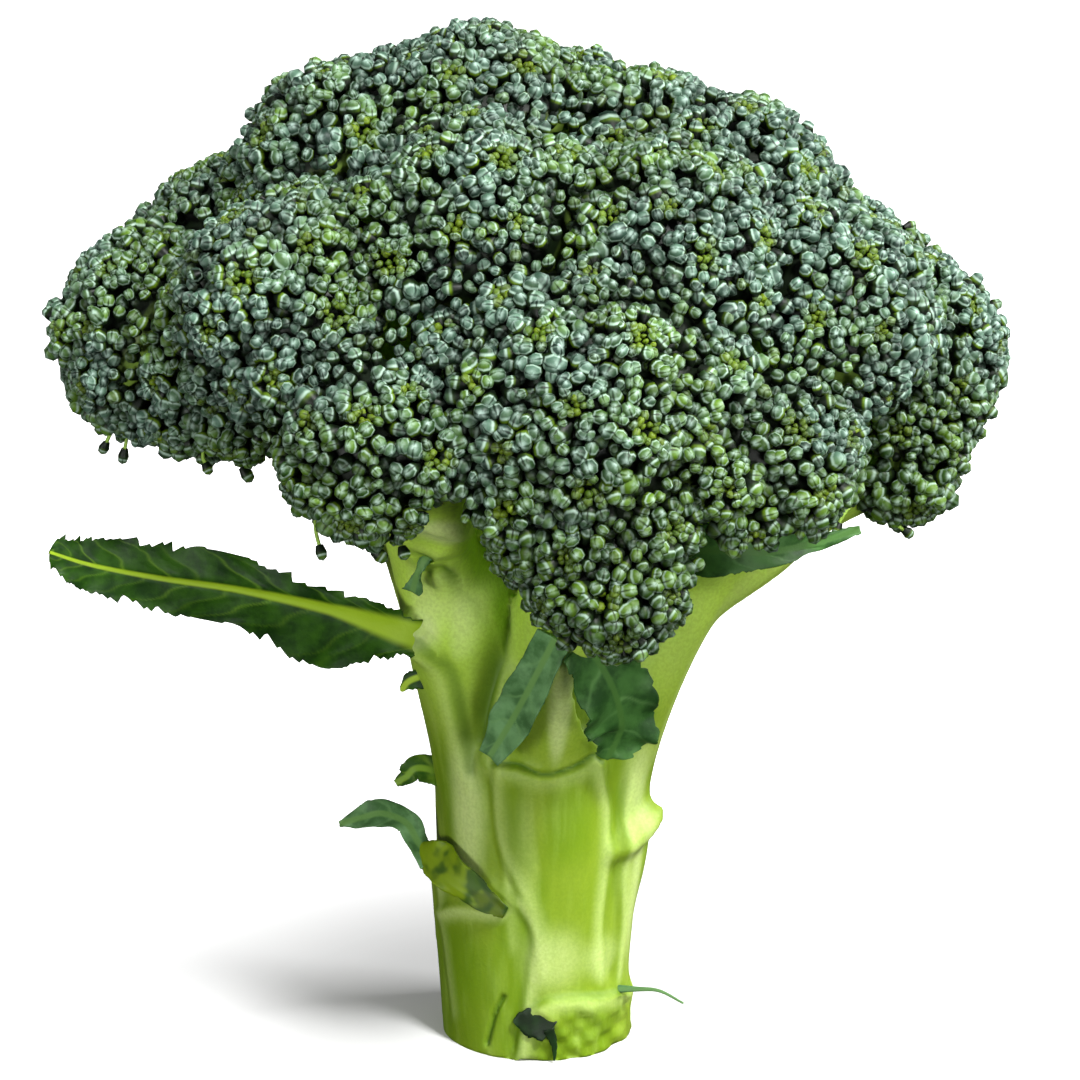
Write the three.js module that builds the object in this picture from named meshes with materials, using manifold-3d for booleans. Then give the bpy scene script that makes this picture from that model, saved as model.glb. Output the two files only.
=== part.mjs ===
// A head of broccoli standing on its cut stem: one pale stalk that forks into branches, a crown of
// florets pressed against each other, and the small leaves that are left on the stalk.
// Millimetres, +Z up, the origin in the middle of the cut face, and the side with the long leaf's
// face looking along -Y.
import * as THREE from "three";
import { ConvexHull } from "three/addons/math/ConvexHull.js";
import { mergeVertices } from "three/addons/utils/BufferGeometryUtils.js";
import Module from "manifold-3d";

const wasm = await Module();
wasm.setup();

// Driving dimensions
const GAP = 0.35; // left between two pieces that touch
const BUD_SPACING = 5.4; // buds are larger than life here
const BUD_HEIGHT = 1.5;
const CLUSTER_SPACING = 11; // the small clusters of buds that a floret is made of
const CLUSTER_HEIGHT = 2.0;
const CROWN_BLEND = 4.5; // how softly one floret's round passes into the next
const CAP_ANGLE = THREE.MathUtils.degToRad(108); // how far the buds reach round a floret
const UNDERSIDE = 0.3; // depth of a floret's flat underside, as a share of its radius
const HIDDEN_SHARE = 4; // one point in this many is kept where nothing shows
const REACH_STEPS = 8; // steps that the reach of a floret is found in
const SHOW_MARGIN = 1.4; // a point cut back by more than this doesn't show
const LEAST_TURN = 1e-4; // three directions that span less than this lie in one plane
const PACKING = 0.866; // area of one place in a hexagonal packing, in spacings squared
const LEAF_THICKNESS = 0.9;
const GOLDEN_ANGLE = Math.PI * (3 - Math.sqrt(5));
const WELD = 1e-4; // points closer than this are one

const CROWN_GREEN = 0x3f5f47;
const STALK_GREEN = 0xa9c765;
const LEAF_GREEN = 0x3c6130;

// The limbs that the stalk forks into: x, y, z and radius along each.
const LIMBS = {
  left: [[-5, -2, 28, 10], [-7.7, -4, 48, 9.4], [-11.4, -6, 64, 8.8], [-14.6, -7, 78, 8], [-19, -8, 92, 7]],
  front: [[1, -4, 38, 9], [2, -7, 56, 8], [3, -10, 70, 7], [4, -15, 84, 6.5]],
  right: [[6, -2, 28, 10], [8.4, -3, 46, 9.6], [14.6, -4, 62, 8.4], [22.4, -4, 75, 7.4], [33, -3, 88, 7]],
  back_left: [[-5, 5, 32, 9], [-11, 9, 54, 8], [-18, 16, 74, 7], [-25, 23, 90, 6.5]],
  back_right: [[5, 5, 32, 9], [11, 9, 54, 8], [18, 16, 74, 7], [26, 24, 90, 6.5]],
  top: [[0, 2, 38, 9], [0, 2, 68, 9], [-1, 2, 92, 8], [-1, 2, 112, 6.5]],
};

// Each floret: centre x, y, z, radius, and the limb that it grows from.
const FLORETS = {
  floret_top: [-8, 2, 144, 15, "top"],
  floret_top_left: [-30, 2, 138.2, 15, "top"],
  floret_top_right: [17, 1, 136.5, 14.5, "top"],
  floret_top_back: [4, 28, 135, 17, "top"],
  floret_top_back_left: [-24, 26, 133.5, 17, "top"],
  floret_top_back_right: [28.5, 24, 128.5, 16, "back_right"],
  floret_upper_left: [-9, -22, 132, 15, "top"],
  floret_upper_right: [18, -23, 129, 15, "top"],
  floret_shoulder_left: [-47.5, 14, 121.5, 14.5, "back_left"],
  floret_shoulder_right: [32, -2, 132.5, 13.4, "right"],
  floret_left: [-57.6, -3, 112.4, 15.6, "left"],
  floret_left_front: [-35, -24, 120, 17, "left"],
  floret_left_under: [-45, -14, 108, 11, "left"],
  floret_low_left: [-23.2, -41, 104, 13.3, "left"],
  floret_front: [6, -36, 108, 21, "front"],
  floret_lowest: [9.5, -43, 86.3, 12, "front"],
  floret_low_right: [32, -34, 101, 13.6, "right"],
  floret_right_front: [43, -18, 118.2, 14.7, "right"],
  floret_right: [57, 3, 109, 14.2, "back_right"],
  floret_right_under: [53.5, -2, 93.5, 10.2, "right"],
  floret_back_right: [50, 23, 111, 16, "back_right"],
  floret_back_mid_right: [34, 42, 110, 18, "back_right"],
  floret_back: [6, 49, 110, 18, "back_right"],
  floret_back_mid_left: [-26, 45, 110, 19, "back_left"],
  floret_back_left: [-50, 26, 107, 16.5, "back_left"],
  floret_back_low_left: [-12, 43, 88, 12.5, "back_left"],
  floret_back_low_right: [20, 43, 88, 12.5, "back_right"],
};
const LIMB_SIDES = 9;
const LIMB_STEPS = 4;
const BRANCH_RISE = 26; // a branch leaves its limb this far below its floret's centre
const BRANCH_RADIUS = 4.6;
const BRANCH_FLARE = [0.34, 0.62]; // its last two radii, as shares of its floret's
const BRANCH_SAG = 0.06; // how far its middle hangs below the straight line, as a share of that radius
const BRANCH_SIDES = 6;
const BRANCH_STEPS = 3;

function toSolid(geometry) {
  const bare = geometry.index ? geometry.toNonIndexed() : geometry.clone();
  for (const name of Object.keys(bare.attributes)) {
    if (name !== "position") bare.deleteAttribute(name);
  }
  const merged = mergeVertices(bare, WELD);
  return new wasm.Manifold(
    new wasm.Mesh({
      numProp: 3,
      vertProperties: merged.attributes.position.array,
      triVerts: new Uint32Array(merged.index.array),
    }),
  );
}

function toGeometry(solid) {
  const mesh = solid.getMesh();
  return new THREE.BufferGeometry()
    .setAttribute("position", new THREE.BufferAttribute(mesh.vertProperties, 3))
    .setIndex(new THREE.BufferAttribute(mesh.triVerts, 1));
}

// The value at a share of the way along a list, between its entries.
function lerpList(values, share) {
  const place = share * (values.length - 1);
  const low = Math.min(Math.floor(place), values.length - 2);
  return THREE.MathUtils.lerp(values[low], values[low + 1], place - low);
}

// The largest connected piece: scraps that a cut leaves behind are dropped.
function largestPiece(solid) {
  return solid.decompose().reduce((best, piece) => (piece.volume() > best.volume() ? piece : best));
}

// A closed skin over rings of equal point count, with a fan at each end.
function skin(rings) {
  const points = rings.flat();
  const sides = rings[0].length;
  const ends = [rings[0], rings[rings.length - 1]].map((ring) =>
    ring.reduce((sum, p) => sum.add(p), new THREE.Vector3()).divideScalar(sides),
  );
  points.push(...ends);
  const index = [];
  const last = (rings.length - 1) * sides;
  for (let k = 0; k < sides; k++) {
    const next = (k + 1) % sides;
    for (let j = 0; j < rings.length - 1; j++) {
      const a = j * sides + k;
      const b = j * sides + next;
      index.push(a, b, b + sides, a, b + sides, a + sides);
    }
    index.push(points.length - 2, next, k);
    index.push(points.length - 1, last + k, last + next);
  }
  return new THREE.BufferGeometry().setFromPoints(points).setIndex(index);
}

// A round limb along a curve whose radius changes evenly through the radii given.
function limbGeometry(curve, radii, sides, steps) {
  const frames = curve.computeFrenetFrames(steps, false);
  const rings = [];
  for (let j = 0; j <= steps; j++) {
    const t = j / steps;
    const radius = lerpList(radii, t);
    const centre = curve.getPointAt(t);
    rings.push(
      Array.from({ length: sides }, (_, k) => {
        const angle = (2 * Math.PI * k) / sides;
        return centre
          .clone()
          .addScaledVector(frames.normals[j], radius * Math.cos(angle))
          .addScaledVector(frames.binormals[j], radius * Math.sin(angle));
      }),
    );
  }
  return skin(rings);
}

// Stalk: the trunk up to where it forks
const TRUNK_SIDES = 26;
const TRUNK_HEIGHTS = [0, 9.2, 16, 22, 28, 32, 37, 42, 48.4, 54, 60, 68]; // of its rings
// Its rings: z, radius, and x of the middle.
const TRUNK_PROFILE = [
  [0, 15.7, -0.5], [10, 16, -0.45], [22, 16.5, -0.3], [37, 17.2, 0], [48.9, 17.2, 0], [60, 15, 0], [68, 11, 0],
];
// Leaf bases that run down the trunk as raised panels: azimuth from -Y towards +X and half width in
// degrees at the top and at the foot, and the heights between which they run.
const PANELS = [
  { top: [5, 33], foot: [14, 17], from: 8, to: 48.4 },
  { top: [-54, 42], foot: [-48, 34], from: -8, to: 28 },
  { top: [-62, 26], foot: [-40, 16], from: 30, to: 66 },
  { top: [72, 30], foot: [66, 26], from: -8, to: 37 },
  { top: [42, 44], foot: [42, 40], from: -8, to: 9.2 },
  { top: [150, 34], foot: [145, 26], from: 2, to: 42 },
  { top: [-140, 34], foot: [-135, 26], from: -6, to: 37 },
];
const PANEL_RAISE = 1.3;
const PANEL_EDGE = 9; // degrees over which a panel's side rises
const PANEL_LIP = 0.5; // height over which a panel's top edge drops back

// The trunk's radius at a height, and x of its middle there.
function profileAt(z) {
  const next = Math.max(1, TRUNK_PROFILE.findIndex(([height]) => height >= z));
  const [z0, ...low] = TRUNK_PROFILE[next - 1];
  const [z1, ...high] = TRUNK_PROFILE[next];
  return low.map((value, k) => THREE.MathUtils.lerp(value, high[k], (z - z0) / (z1 - z0)));
}

function panelRaise(azimuth, z) {
  let raise = 0;
  for (const { top, foot, from, to } of PANELS) {
    if (z < from || z > to) continue;
    const share = (z - from) / (to - from);
    const middle = THREE.MathUtils.lerp(foot[0], top[0], share);
    const half = THREE.MathUtils.lerp(foot[1], top[1], share);
    const off = Math.abs(((azimuth - middle + 540) % 360) - 180);
    raise = Math.max(raise, share * (1 - THREE.MathUtils.smoothstep(off, half - PANEL_EDGE, half)));
  }
  return PANEL_RAISE * raise;
}

function trunkGeometry() {
  const tops = new Set(PANELS.map(({ to }) => to + PANEL_LIP));
  const heights = TRUNK_HEIGHTS.flatMap((z) => (tops.has(z + PANEL_LIP) ? [z, z + PANEL_LIP] : [z]));
  const rings = [];
  for (const z of heights) {
    const [profileRadius, middle] = profileAt(z);
    rings.push(
      Array.from({ length: TRUNK_SIDES }, (_, k) => {
        const azimuth = (360 * k) / TRUNK_SIDES;
        const angle = THREE.MathUtils.degToRad(azimuth);
        const radius = profileRadius - PANEL_RAISE / 2 + panelRaise(azimuth, z);
        return new THREE.Vector3(middle + radius * Math.sin(angle), -radius * Math.cos(angle), z);
      }),
    );
  }
  return skin(rings);
}

function limbCurve(name) {
  return new THREE.CatmullRomCurve3(LIMBS[name].map(([x, y, z]) => new THREE.Vector3(x, y, z)));
}

const CURVE_POINTS = 24;

// The point of a limb at a height, or its end where the limb doesn't reach it.
function limbPoint(curve, height) {
  const points = curve.getSpacedPoints(CURVE_POINTS);
  return points.find((p) => p.z >= height) ?? points[points.length - 1];
}

// Florets
function makeFlorets() {
  const florets = Object.entries(FLORETS).map(([name, [x, y, z, radius, limb]], number) => {
    const centre = new THREE.Vector3(x, y, z);
    const start = limbPoint(limbCurve(limb), z - BRANCH_RISE);
    const axis = centre.clone().sub(start).normalize();
    return { name, number, centre, radius, start, axis, planes: [] };
  });
  for (const a of florets) {
    a.clusters = capDirections(a, CLUSTER_SPACING);
    for (const b of florets) {
      const apart = b.centre.clone().sub(a.centre);
      const distance = apart.length();
      if (a === b || distance > a.radius + b.radius + 2 * (CLUSTER_HEIGHT + BUD_HEIGHT)) continue;
      const share = (distance ** 2 + a.radius ** 2 - b.radius ** 2) / (2 * distance);
      a.planes.push({ normal: apart.divideScalar(distance), distance: share - GAP / 2 });
    }
  }
  for (const floret of florets) floret.buds = budDirections(floret);
  return florets;
}

// Directions spread evenly over a floret's cap in a phyllotaxis spiral about its axis.
function capDirections(floret, spacing) {
  const area = 2 * Math.PI * floret.radius ** 2 * (1 - Math.cos(CAP_ANGLE));
  const count = Math.max(6, Math.round(area / (PACKING * spacing ** 2)));
  const side = new THREE.Vector3(0, 0, 1).cross(floret.axis);
  if (side.length() < WELD) side.set(1, 0, 0);
  side.normalize();
  const other = floret.axis.clone().cross(side);
  return Array.from({ length: count }, (_, k) => {
    const cos = 1 - ((1 - Math.cos(CAP_ANGLE)) * (k + 0.5)) / count;
    const sin = Math.sqrt(1 - cos * cos);
    const turn = k * GOLDEN_ANGLE + floret.number;
    return floret.axis
      .clone()
      .multiplyScalar(cos)
      .addScaledVector(side, sin * Math.cos(turn))
      .addScaledVector(other, sin * Math.sin(turn));
  });
}

// Signed distance to the crown: the florets' spheres, softly joined.
function crownDistance(point) {
  const shares = Object.values(FLORETS).map(([x, y, z, radius]) => {
    const away = Math.hypot(point.x - x, point.y - y, point.z - z) - radius;
    return Math.exp(-away / CROWN_BLEND);
  });
  return -CROWN_BLEND * Math.log(shares.reduce((sum, share) => sum + share, 0));
}

// The floret's reach in one direction, before its neighbours cut it: a cap of domed clusters.
function openReach(floret, direction) {
  const nearest = Math.max(...floret.clusters.map((c) => c.dot(direction)));
  const off = (floret.radius * Math.acos(Math.min(1, nearest))) / (CLUSTER_SPACING / 2);
  let reach = floret.radius;
  for (let k = 0; k < REACH_STEPS; k++) {
    reach -= crownDistance(floret.centre.clone().addScaledVector(direction, reach));
  }
  return reach + CLUSTER_HEIGHT * Math.max(-0.5, 0.5 - off * off);
}

// The same after the flat underside and the planes between neighbours cut it, each moved out by `grow`.
function cutReach(floret, direction, reach, grow = 0) {
  const along = direction.dot(floret.axis);
  if (along < 0) reach = Math.min(reach, (floret.radius * UNDERSIDE + grow) / -along);
  for (const { normal, distance } of floret.planes) {
    const facing = direction.dot(normal);
    if (facing > 0) reach = Math.min(reach, (distance + grow) / facing);
  }
  return reach;
}

// Evenly spread directions over the whole sphere, thinned where the floret doesn't show.
function budDirections(floret) {
  const count = Math.round((4 * Math.PI * floret.radius ** 2) / (PACKING * BUD_SPACING ** 2));
  const kept = [];
  for (let k = 0; k < count; k++) {
    const cos = 1 - (2 * (k + 0.5)) / count;
    const sin = Math.sqrt(1 - cos * cos);
    const turn = k * GOLDEN_ANGLE + floret.number;
    const direction = new THREE.Vector3(sin * Math.cos(turn), sin * Math.sin(turn), cos);
    const open = openReach(floret, direction);
    direction.shows = cutReach(floret, direction, open) > open - SHOW_MARGIN;
    if (direction.shows || k % HIDDEN_SHARE === 0) kept.push(direction);
  }
  return kept;
}

// The three corners of a hull's face.
function faceCorners(face) {
  return [face.edge, face.edge.next, face.edge.next.next].map((edge) => edge.head().point);
}

// A floret's closed skin. Each bud is a low pyramid whose foot runs through the middles of the
// triangles round it; where nothing shows the plain triangles stay.
function floretGeometry(floret) {
  const { buds } = floret;
  const hull = new ConvexHull().setFromPoints(buds);
  const place = (direction, lift) => {
    const reach = cutReach(floret, direction, openReach(floret, direction) + lift);
    return floret.centre.clone().addScaledVector(direction, reach);
  };
  const points = buds.map((d) => place(d, d.shows ? BUD_HEIGHT / 2 : 0));
  const directions = [...buds];
  const index = [];
  const edges = new Map();
  for (const face of hull.faces) {
    const corners = faceCorners(face).map((point) => buds.indexOf(point));
    if (!corners.some((c) => buds[c].shows)) {
      index.push(...corners);
      continue;
    }
    const middle = corners.reduce((sum, c) => sum.add(buds[c]), new THREE.Vector3()).normalize();
    directions.push(middle);
    points.push(place(middle, -BUD_HEIGHT / 2));
    corners.forEach((a, k) => edges.set(a + "_" + corners[(k + 1) % 3], points.length - 1));
  }
  const turnsOut = (a, b, c) =>
    directions[a].dot(directions[b].clone().cross(directions[c])) > LEAST_TURN;
  for (const [key, middle] of edges) {
    const [a, b] = key.split("_").map(Number);
    const across = edges.get(b + "_" + a);
    const flip = across !== undefined && turnsOut(a, across, middle) && turnsOut(b, middle, across);
    if (!flip) index.push(a, b, middle);
    else if (a < b) index.push(a, across, middle, b, middle, across);
  }
  floret.skin = directions;
  return new THREE.BufferGeometry().setFromPoints(points).setIndex(index);
}

// A plain convex sleeve a gap larger than the floret, which the stalk is cut back to.
function sleeveGeometry(floret) {
  const points = floret.skin.map((direction) => {
    const reach = openReach(floret, direction) + BUD_HEIGHT / 2 + GAP;
    return floret.centre.clone().addScaledVector(direction, cutReach(floret, direction, reach, GAP));
  });
  const hull = new ConvexHull().setFromPoints(points);
  return new THREE.BufferGeometry().setFromPoints(hull.faces.flatMap(faceCorners));
}

function branchGeometry(floret) {
  const { start, centre, radius, axis } = floret;
  const bend = start.clone().lerp(centre, 0.5);
  bend.z -= BRANCH_SAG * radius;
  const curve = new THREE.QuadraticBezierCurve3(start, bend, centre.clone().addScaledVector(axis, -1));
  const flare = BRANCH_FLARE.map((share) => share * radius);
  const radii = [BRANCH_RADIUS + 1, BRANCH_RADIUS, BRANCH_RADIUS, ...flare];
  return limbGeometry(curve, radii, BRANCH_SIDES, BRANCH_STEPS);
}

// Leaves: each a thin blade along a curve, thicker along its rib.
// path: x, y, z along the midrib from the root; over and under: half widths on its two sides at the
// path's points; face: the way that the blade looks; rib: its thickness at root and tip; teeth: depth
// of the notches in the edge; cup: how far the edges bend towards the face, as a share of the width.
const LEAVES = {
  leaf_long: {
    path: [
      [-13, -11, 66], [-21, -15.5, 69.5], [-31.5, -15, 73], [-45, -13.2, 75.6],
      [-58, -11, 77], [-68, -9.5, 79.2], [-74, -8, 81.6],
    ],
    over: [1.4, 2, 4.6, 6, 5.2, 4.2, 1.2],
    under: [1.4, 4.6, 8.6, 7, 6.6, 5.4, 1.2],
    face: [0, -0.93, 0.36],
    rib: [3.4, 1],
    teeth: 1.1,
    cup: 0.12,
    steps: 26,
  },
  leaf_front_left: {
    path: [[1.2, -27.5, 70], [-1.5, -25.5, 64], [-4.2, -22.8, 58], [-7.4, -20.9, 52]],
    over: [1.6, 2.9, 3, 1.2],
    under: [1.4, 2.6, 2.9, 1.4],
    face: [-0.3, -0.9, 0.3],
    rib: [1, 0.9],
    teeth: 0.5,
    cup: 0.25,
    steps: 9,
  },
  leaf_front_right: {
    path: [[7.6, -27, 69.5], [10.5, -25.6, 64.6], [12, -23.2, 58.5], [11, -21, 52.5]],
    over: [2.5, 4.4, 4.6, 1.8],
    under: [3.6, 6, 5, 2],
    face: [0.25, -0.9, 0.3],
    rib: [1, 0.9],
    teeth: 0.8,
    cup: 0.2,
    steps: 9,
  },
  leaf_curl: {
    path: [
      [-14.5, -8.5, 29.5], [-18.5, -7.5, 31.6], [-20.8, -6, 35],
      [-24.6, -5, 36.6], [-28, -4.2, 36], [-31.3, -3.6, 34.8],
    ],
    over: [1.8, 1.6, 1.7, 1.7, 1.2, 0.5],
    under: [2.6, 1.9, 1.6, 1.6, 1.2, 0.5],
    face: [0.1, -0.8, 0.6],
    rib: [1.2, 0.9],
    teeth: 0.3,
    cup: 0.2,
    steps: 10,
  },
  leaf_torn_left: {
    path: [[-13, -4.5, 43], [-18.8, -4.4, 44.4], [-20.9, -4.2, 42.8], [-22.4, -4, 41.8]],
    over: [2.4, 2.2, 1.4, 0.7],
    under: [2.4, 2.2, 1.3, 0.7],
    face: [0, -0.9, 0.4],
    rib: [1.1, 0.9],
    teeth: 0.3,
    cup: 0.2,
    steps: 5,
  },
  leaf_right: {
    path: [
      [13.5, -10, 81], [19, -19.5, 83.6], [26, -24.5, 85],
      [33, -24, 84.6], [40, -19.5, 84.6], [47.5, -16, 86],
    ],
    over: [1.5, 3, 4, 2.6, 1.6, 0.9],
    under: [1.5, 3, 4.2, 3.8, 1.6, 0.8],
    face: [0.15, -0.95, 0.2],
    rib: [1.4, 0.9],
    teeth: 0.5,
    cup: 0.2,
    steps: 13,
  },
  leaf_torn_upper: {
    path: [[-14.6, -13, 79.8], [-16.4, -15.2, 80.4], [-18.1, -16.6, 79.4], [-18.8, -17.4, 76.8]],
    over: [1.6, 1.2, 1, 0.8],
    under: [1.6, 1.2, 1, 0.8],
    face: [-0.3, -0.9, 0.3],
    rib: [1, 0.9],
    teeth: 0.2,
    cup: 0.2,
    steps: 4,
  },
  leaf_shred: {
    path: [[10, -9, 9.4], [15.2, -11, 10.2], [18.7, -12, 10.3], [22.4, -12.4, 8.4]],
    over: [1, 0.7, 0.45, 0.35],
    under: [1, 0.7, 0.45, 0.35],
    face: [0.3, -0.9, 0.3],
    rib: [0.9, 0.8],
    teeth: 0,
    cup: 0,
    steps: 5,
  },
};
// Leaf bases of the stalk's own green, which are one with it.
const LEAF_BASES = {
  front_rib: {
    path: [[2, -13, 44], [1.8, -15.6, 49], [1.9, -18, 55], [2.4, -22, 62], [3.2, -26.4, 69]],
    over: [7, 9, 5.4, 3, 2],
    under: [7, 9, 5.4, 3, 2],
    face: [0, -0.96, 0.28],
    rib: [6, 3.6],
    teeth: 0,
    cup: -0.15,
    steps: 6,
  },
  curl_base: {
    path: [[-16.2, -4, 31], [-14.6, -9.5, 29.8], [-9.6, -14, 27.6], [-4.5, -16, 24.6]],
    over: [1.4, 1.6, 1.3, 0.9],
    under: [1.6, 3.4, 3, 1],
    face: [-0.5, -0.8, 0.3],
    rib: [3, 2],
    teeth: 0,
    cup: 0,
    steps: 6,
  },
  right_lip: {
    path: [[10.5, -12.5, 33], [14.2, -10.6, 34.4], [17.4, -7.4, 36.4], [18.6, -5, 38.6]],
    over: [0.8, 1.1, 1.3, 0.8],
    under: [1, 1.8, 1.8, 1],
    face: [0.6, -0.75, 0.25],
    rib: [2.4, 1.6],
    teeth: 0,
    cup: 0,
    steps: 5,
  },
};
const COLUMNS = [-1, -0.55, 0, 0.55, 1]; // across a blade, from its under edge to its over edge

// A blade's two faces share their columns and are split into triangles alike. `grow` widens it all
// round, for the slot that its root sits in.
function leafGeometry(leaf, grow = 0) {
  const curve = new THREE.CatmullRomCurve3(leaf.path.map((p) => new THREE.Vector3(...p)));
  const face = new THREE.Vector3(...leaf.face).normalize();
  const rings = [];
  for (let j = 0; j <= leaf.steps; j++) {
    const t = j / leaf.steps;
    const tangent = curve.getTangent(t);
    const centre = curve.getPoint(t);
    if (j === 0) centre.addScaledVector(tangent, -grow);
    if (j === leaf.steps) centre.addScaledVector(tangent, grow);
    const across = tangent.clone().cross(face).normalize();
    const normal = across.clone().cross(tangent);
    const notch = j % 2 && j < leaf.steps ? leaf.teeth : 0;
    const ribThickness = lerpList(leaf.rib, t);
    const row = (sign) =>
      COLUMNS.map((column) => {
        const width = lerpList(column < 0 ? leaf.under : leaf.over, t) - notch * Math.abs(column) + grow;
        const thickness = column === 0 ? Math.max(ribThickness, LEAF_THICKNESS) : LEAF_THICKNESS;
        return centre
          .clone()
          .addScaledVector(across, column * width)
          .addScaledVector(normal, leaf.cup * width * column * column + sign * (thickness / 2 + grow));
      });
    rings.push([...row(1), ...row(-1).reverse()]);
  }
  return skin(rings);
}

// Assembly
const florets = makeFlorets();
const paint = (color, roughness) => new THREE.MeshStandardMaterial({ color, roughness, metalness: 0 });
const crown = paint(CROWN_GREEN, 0.75);
const pale = paint(STALK_GREEN, 0.5);
const green = paint(LEAF_GREEN, 0.6);
const broccoli = new THREE.Group();

function addNode(name, geometry, material) {
  const mesh = new THREE.Mesh(geometry, material);
  mesh.name = name;
  broccoli.add(mesh);
}

for (const floret of florets) addNode(floret.name, floretGeometry(floret), crown);
for (const [name, leaf] of Object.entries(LEAVES)) addNode(name, leafGeometry(leaf), green);

const grown = [
  trunkGeometry(),
  ...Object.keys(LIMBS).map((name) => {
    const radii = LIMBS[name].map((point) => point[3]);
    return limbGeometry(limbCurve(name), radii, LIMB_SIDES, LIMB_STEPS);
  }),
  ...florets.map(branchGeometry),
  ...Object.values(LEAF_BASES).map((base) => leafGeometry(base)),
];
const slots = [
  ...florets.map(sleeveGeometry),
  ...Object.values(LEAVES).map((leaf) => leafGeometry(leaf, GAP)),
];
const stalk = wasm.Manifold.union(grown.map(toSolid)).subtract(wasm.Manifold.union(slots.map(toSolid)));
addNode("stalk", toGeometry(largestPiece(stalk)), pale);

export default broccoli;
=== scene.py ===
"""A head of broccoli standing on its cut stem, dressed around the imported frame.

Lengths in this file are millimetres unless a name says otherwise; meshes are made in metres.
"""

import math

import bmesh
import bpy
import numpy as np
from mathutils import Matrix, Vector
from mathutils.kdtree import KDTree


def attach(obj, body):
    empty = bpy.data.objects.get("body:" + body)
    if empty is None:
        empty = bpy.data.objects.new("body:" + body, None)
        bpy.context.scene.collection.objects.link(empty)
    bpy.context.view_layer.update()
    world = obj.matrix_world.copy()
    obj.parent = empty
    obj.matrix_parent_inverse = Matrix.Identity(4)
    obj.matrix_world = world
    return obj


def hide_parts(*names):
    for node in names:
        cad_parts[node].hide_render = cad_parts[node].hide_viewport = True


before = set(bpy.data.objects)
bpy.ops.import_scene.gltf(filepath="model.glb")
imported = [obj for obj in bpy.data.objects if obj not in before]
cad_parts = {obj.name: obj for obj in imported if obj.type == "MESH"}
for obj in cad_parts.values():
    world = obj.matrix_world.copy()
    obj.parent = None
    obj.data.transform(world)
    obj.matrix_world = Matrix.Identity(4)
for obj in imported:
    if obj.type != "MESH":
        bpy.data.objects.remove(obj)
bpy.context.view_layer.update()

MM = 0.001
GOLDEN_ANGLE = math.pi * (3 - math.sqrt(5))
HEXAGON = 0.866  # area that each place takes in an even close pattern, over its spacing squared
ANY_TURN = (0, 6.28)
ANY_PHASE = (0, 6)
rng = np.random.default_rng(7)

# The limbs that the trunk forks into: x, y, z and radius along each
LIMBS = {
    "left": [[-5, -2, 28, 10], [-7.7, -4, 48, 9.4], [-11.4, -6, 64, 8.8],
             [-14.6, -7, 78, 8], [-19, -8, 92, 7]],
    "front": [[1, -4, 38, 9], [2, -7, 56, 8], [3, -10, 70, 7], [4, -15, 84, 6.5]],
    "right": [[6, -2, 28, 10], [8.4, -3, 46, 9.6], [14.6, -4, 62, 8.4], [22.4, -4, 75, 7.4], [33, -3, 88, 7]],
    "back_left": [[-5, 5, 32, 9], [-11, 9, 54, 8], [-18, 16, 74, 7], [-25, 23, 90, 6.5]],
    "back_right": [[5, 5, 32, 9], [11, 9, 54, 8], [18, 16, 74, 7], [26, 24, 90, 6.5]],
    "top": [[0, 2, 38, 9], [0, 2, 68, 9], [-1, 2, 92, 8], [-1, 2, 112, 6.5]],
}
# Florets: centre x, y, z, radius, and the limb that each grows from
FLORETS = {
    "floret_top": (-8, 2, 144, 15, "top"),
    "floret_top_left": (-30, 2, 138.2, 15, "top"),
    "floret_top_right": (17, 1, 136.5, 14.5, "top"),
    "floret_top_back": (4, 28, 135, 17, "top"),
    "floret_top_back_left": (-24, 26, 133.5, 17, "top"),
    "floret_top_back_right": (28.5, 24, 128.5, 16, "back_right"),
    "floret_upper_left": (-9, -22, 132, 15, "top"),
    "floret_upper_right": (18, -23, 129, 15, "top"),
    "floret_shoulder_left": (-47.5, 14, 121.5, 14.5, "back_left"),
    "floret_shoulder_right": (32, -2, 132.5, 13.4, "right"),
    "floret_left": (-57.6, -3, 112.4, 15.6, "left"),
    "floret_left_front": (-35, -24, 120, 17, "left"),
    "floret_left_under": (-45, -14, 108, 11, "left"),
    "floret_low_left": (-23.2, -41, 104, 13.3, "left"),
    "floret_front": (6, -36, 108, 21, "front"),
    "floret_lowest": (9.5, -43, 86.3, 12, "front"),
    "floret_low_right": (32, -34, 101, 13.6, "right"),
    "floret_right_front": (43, -18, 118.2, 14.7, "right"),
    "floret_right": (57, 3, 109, 14.2, "back_right"),
    "floret_right_under": (53.5, -2, 93.5, 10.2, "right"),
    "floret_back_right": (50, 23, 111, 16, "back_right"),
    "floret_back_mid_right": (34, 42, 110, 18, "back_right"),
    "floret_back": (6, 49, 110, 18, "back_right"),
    "floret_back_mid_left": (-26, 45, 110, 19, "back_left"),
    "floret_back_left": (-50, 26, 107, 16.5, "back_left"),
    "floret_back_low_left": (-12, 43, 88, 12.5, "back_left"),
    "floret_back_low_right": (20, 43, 88, 12.5, "back_right"),
}
CAP_ANGLE = math.radians(108)
BRANCH_RISE = 26
CROWN_PROUD = 1.75  # bud tips over a floret's radius


def unit(v):
    return v / np.linalg.norm(v, axis=-1, keepdims=True)


def smoothstep(low, high, value):
    t = np.clip((value - low) / (high - low), 0, 1)
    return t * t * (3 - 2 * t)


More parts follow.
